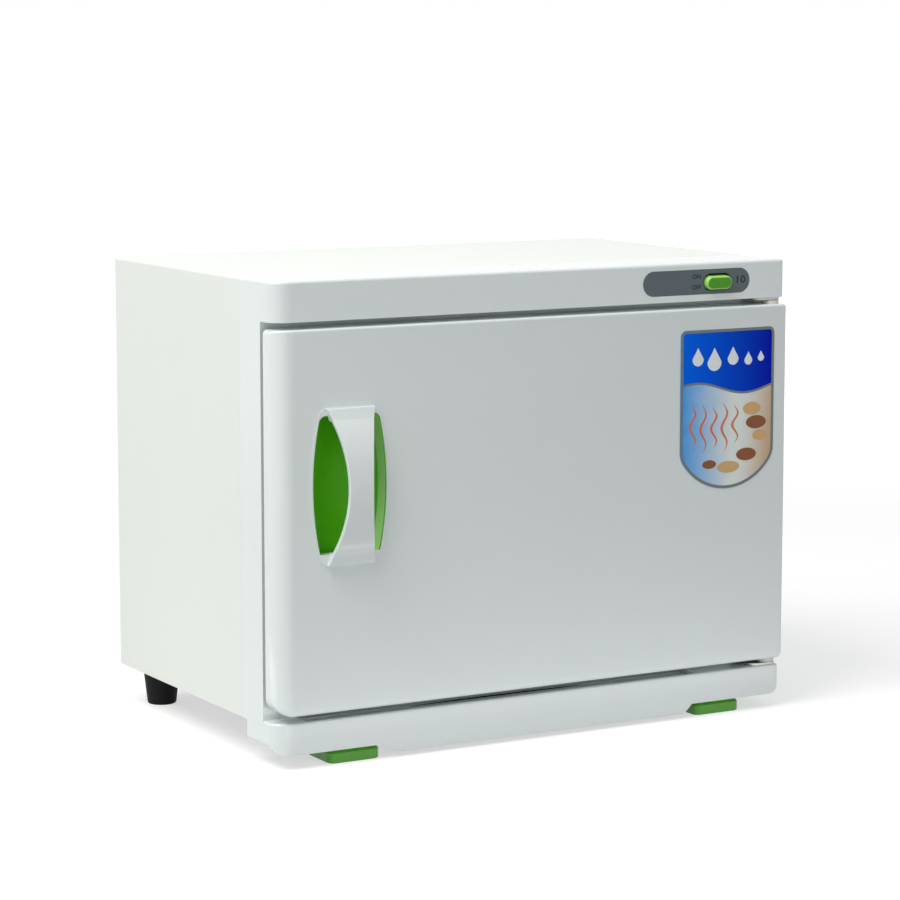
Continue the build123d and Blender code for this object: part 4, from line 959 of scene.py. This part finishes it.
# A black strip as painted shade in the gap under the door.
lay_flat(
    flat_loops("plinth_shade_strip", [shade_strip_loop]),
    seat_y - shade_strip_gap,
    "foot_rubber",
    "cabinet",
    thickness=shade_strip_thick,
)

# %% [markdown]
# The label is cut like a shield: straight above, round below. A grey edge runs all the way round,
# and a grey wave parts a deep blue head from a pale picture ground. The edge and the head follow
# the cut at a steady distance, so one function gives the cut drawn in by any inset.
# %% Label: cut and edge
label_y = label_low.y
shield_sagitta = 26.0 * mm
shield_corner = 18.0 * mm
shield_top_corner = 5.0 * mm
shield_radius = (label_half_width**2 + shield_sagitta**2) / (2 * shield_sagitta)
shield_centre_z = label_low.z + shield_radius


def arc_points(centre, radius, start, end, steps):
    """Points on an arc between two angles in radians."""
    turns = [start + (end - start) * step / steps for step in range(steps + 1)]
    return [(centre[0] + radius * math.cos(t), centre[1] + radius * math.sin(t)) for t in turns]


def shield_loop(inset, tip_steps=24, side_steps=12, top_steps=8):
    """The label's cut, drawn in by an inset, from the tip counter-clockwise."""
    corner_x = label_half_width - shield_corner
    reach = shield_radius - shield_corner
    drop = math.sqrt(reach**2 - corner_x**2)
    meet = math.atan2(-drop, corner_x)
    corner_z = shield_centre_z - drop
    quarter_turn = math.pi / 2
    top_x = label_half_width - shield_top_corner
    top_z = label_high.z - shield_top_corner
    tip_radius = shield_radius - inset
    right = arc_points((0.0, shield_centre_z), tip_radius, -quarter_turn, meet, tip_steps)
    right += arc_points((corner_x, corner_z), shield_corner - inset, meet, 0.0, side_steps)[1:]
    right += arc_points((top_x, top_z), shield_top_corner - inset, 0.0, quarter_turn, top_steps)
    left = [(-x, z) for x, z in reversed(right[1:])]
    return [(label_centre_x + x, z) for x, z in right + left]


edge_width = 2.4 * mm
print_inset = 0.06 * mm
ink("edge_grey", seen(126, 134, 138), seen(114, 122, 128))
lay_flat(
    flat_loops("label_edge", [shield_loop(print_inset), shield_loop(print_inset + edge_width)]),
    label_y,
    "edge_grey",
    "door",
)

# %% [markdown]
# The head's lower edge is most of one turn of a sine wave. The same wave, moved down a little,
# gives the grey band under it, so the head and the band meet without a gap. The head's blue
# deepens towards the right.
# %% Label: head and wave
wave_steps = 36
wave_start, wave_run = 40.0, 330.0
wave_level = 262.5 * mm
wave_swing = 4.6 * mm
wave_band = 1.8 * mm
head_corner_room = 6 * mm


def wave_height(share, drop=0.0):
    """Height of the wave at a share of the label's width, low in its right half."""
    return wave_level + wave_swing * math.sin(math.radians(wave_start + wave_run * share)) - drop


def head_loop():
    """The label's head: the upper part of the cut, closed below by the wave."""
    inset = print_inset + edge_width
    left = label_centre_x - label_half_width + inset
    right = label_centre_x + label_half_width - inset
    upper = [(x, z) for x, z in shield_loop(inset) if z > label_high.z - head_corner_room]
    wave = []
    for step in range(wave_steps + 1):
        share = step / wave_steps
        wave.append((left + (right - left) * share, wave_height(share)))
    return wave + upper


def wave_loop():
    """The grey band under the head."""
    inset = print_inset + edge_width
    left = label_centre_x - label_half_width + inset
    width = 2 * (label_half_width - inset)
    shares = [step / wave_steps for step in range(wave_steps + 1)]
    upper = [(left + width * share, wave_height(share)) for share in shares]
    lower = [(left + width * share, wave_height(share, wave_band)) for share in reversed(shares)]
    return upper + lower


head_tree, head_shader = ink(
    "head_blue", seen(0, 112, 255), seen(0, 104, 250), Specular_IOR_Level=0.05
)
head_place = head_tree.nodes.new("ShaderNodeSeparateXYZ")
head_tree.links.new(own_place(head_tree), head_place.inputs[0])
head_share = head_tree.nodes.new("ShaderNodeMapRange")
head_share.inputs["From Min"].default_value = label_low.x
head_share.inputs["From Max"].default_value = label_high.x
head_tree.links.new(head_place.outputs["X"], head_share.inputs["Value"])
left_blue = head_shader.inputs["Base Color"].links[0].from_socket
head_tree.links.new(
    mixed(head_tree, head_share.outputs["Result"], left_blue, seen(0, 10, 176)),
    head_shader.inputs["Base Color"],
)
lay_flat(flat_loops("label_head", [head_loop()]), label_y, "head_blue", "door")
lay_flat(flat_loops("label_wave", [wave_loop()]), label_y, "edge_grey", "door")

# %% [markdown]
# White drops of four sizes stand on the blue head, curls of steam rise over the pale ground, and
# a few smooth pebbles lie beside and below them. A drop is a circle that narrows to a point, a
# curl is a line of even sway whose width swells in its middle, and both come from short formulas.
# %% Label: drops, steam and pebbles
drop_steps = 48
drop_narrowing, drop_stretch = 0.75, 0.75


def drop_loop(centre_x, centre_z, size):
    """A drop with its point up: a circle whose upper half is drawn in towards its axis."""
    loop = []
    for x, z in round_loop(0.0, 0.0, size, size, drop_steps):
        lift = max(0.0, z / size)
        narrowed = x * (1.0 - drop_narrowing * lift**1.5)
        loop.append((centre_x + narrowed, centre_z + z * (1.0 + drop_stretch * lift)))
    return loop


curl_steps = 28
curl_half_turns = 3.2
curl_end, curl_middle = 0.04, 0.92


def curl_loop(foot_x, foot_z, rise, sway, width):
    """A curl of steam: a line that sways from side to side as it rises, widest at its middle."""
    one_side, other_side = [], []
    for step in range(curl_steps + 1):
        share = step / curl_steps
        x = foot_x + sway * math.sin(share * curl_half_turns * math.pi)
        half_width = width * math.sin(math.pi * (curl_end + curl_middle * share))
        one_side.append((x + half_width, foot_z + rise * share))
        other_side.append((x - half_width, foot_z + rise * share))
    return one_side + other_side[::-1]


ink("drop_white", seen(246, 249, 252), seen(236, 242, 248))
ink("steam_rust", seen(230, 116, 70), seen(214, 124, 88))
ink("pebble_sand", seen(232, 196, 140), seen(196, 144, 84))
ink("pebble_brown", seen(160, 92, 48), seen(116, 64, 34))
# Each drop and curl: its place across and up, and its size or rise, in millimetres.
drop_places = (
    (140.5, 285.0, 5.2),
    (156.0, 282.0, 6.6),
    (173.5, 284.5, 5.2),
    (188.0, 282.5, 3.8),
    (200.0, 284.0, 3.0),
)
drops = [drop_loop(x * mm, z * mm, size * mm) for x, z, size in drop_places]
lay_flat(flat_loops("label_drops", drops), label_y, "drop_white", "door", layer=1)
curl_places = ((136, 216, 34), (146, 212, 38), (156, 215, 32), (166, 212, 38), (176, 218, 30))
curl_sway, curl_width = 2.6 * mm, 1.1 * mm
curls = [
    curl_loop(x * mm, z * mm, rise * mm, curl_sway, curl_width) for x, z, rise in curl_places
]
lay_flat(flat_loops("label_steam", curls), label_y, "steam_rust", "door", layer=1)
pebble_places = {
    "sand": ((192.0, 244.0, 8.5, 5.0), (199.5, 222.5, 6.8, 4.2), (170.0, 199.0, 10.5, 4.6)),
    "brown": ((196.0, 233.0, 9.5, 5.2), (187.0, 208.0, 9.5, 5.0), (152.0, 202.0, 6.5, 3.4)),
}
for tone, places in pebble_places.items():
    loops = [round_loop(x * mm, z * mm, a * mm, b * mm) for x, z, a, b in places]
    pebbles = flat_loops(f"label_{tone}_pebbles", loops)
    lay_flat(pebbles, label_y, f"pebble_{tone}", "door", layer=1)
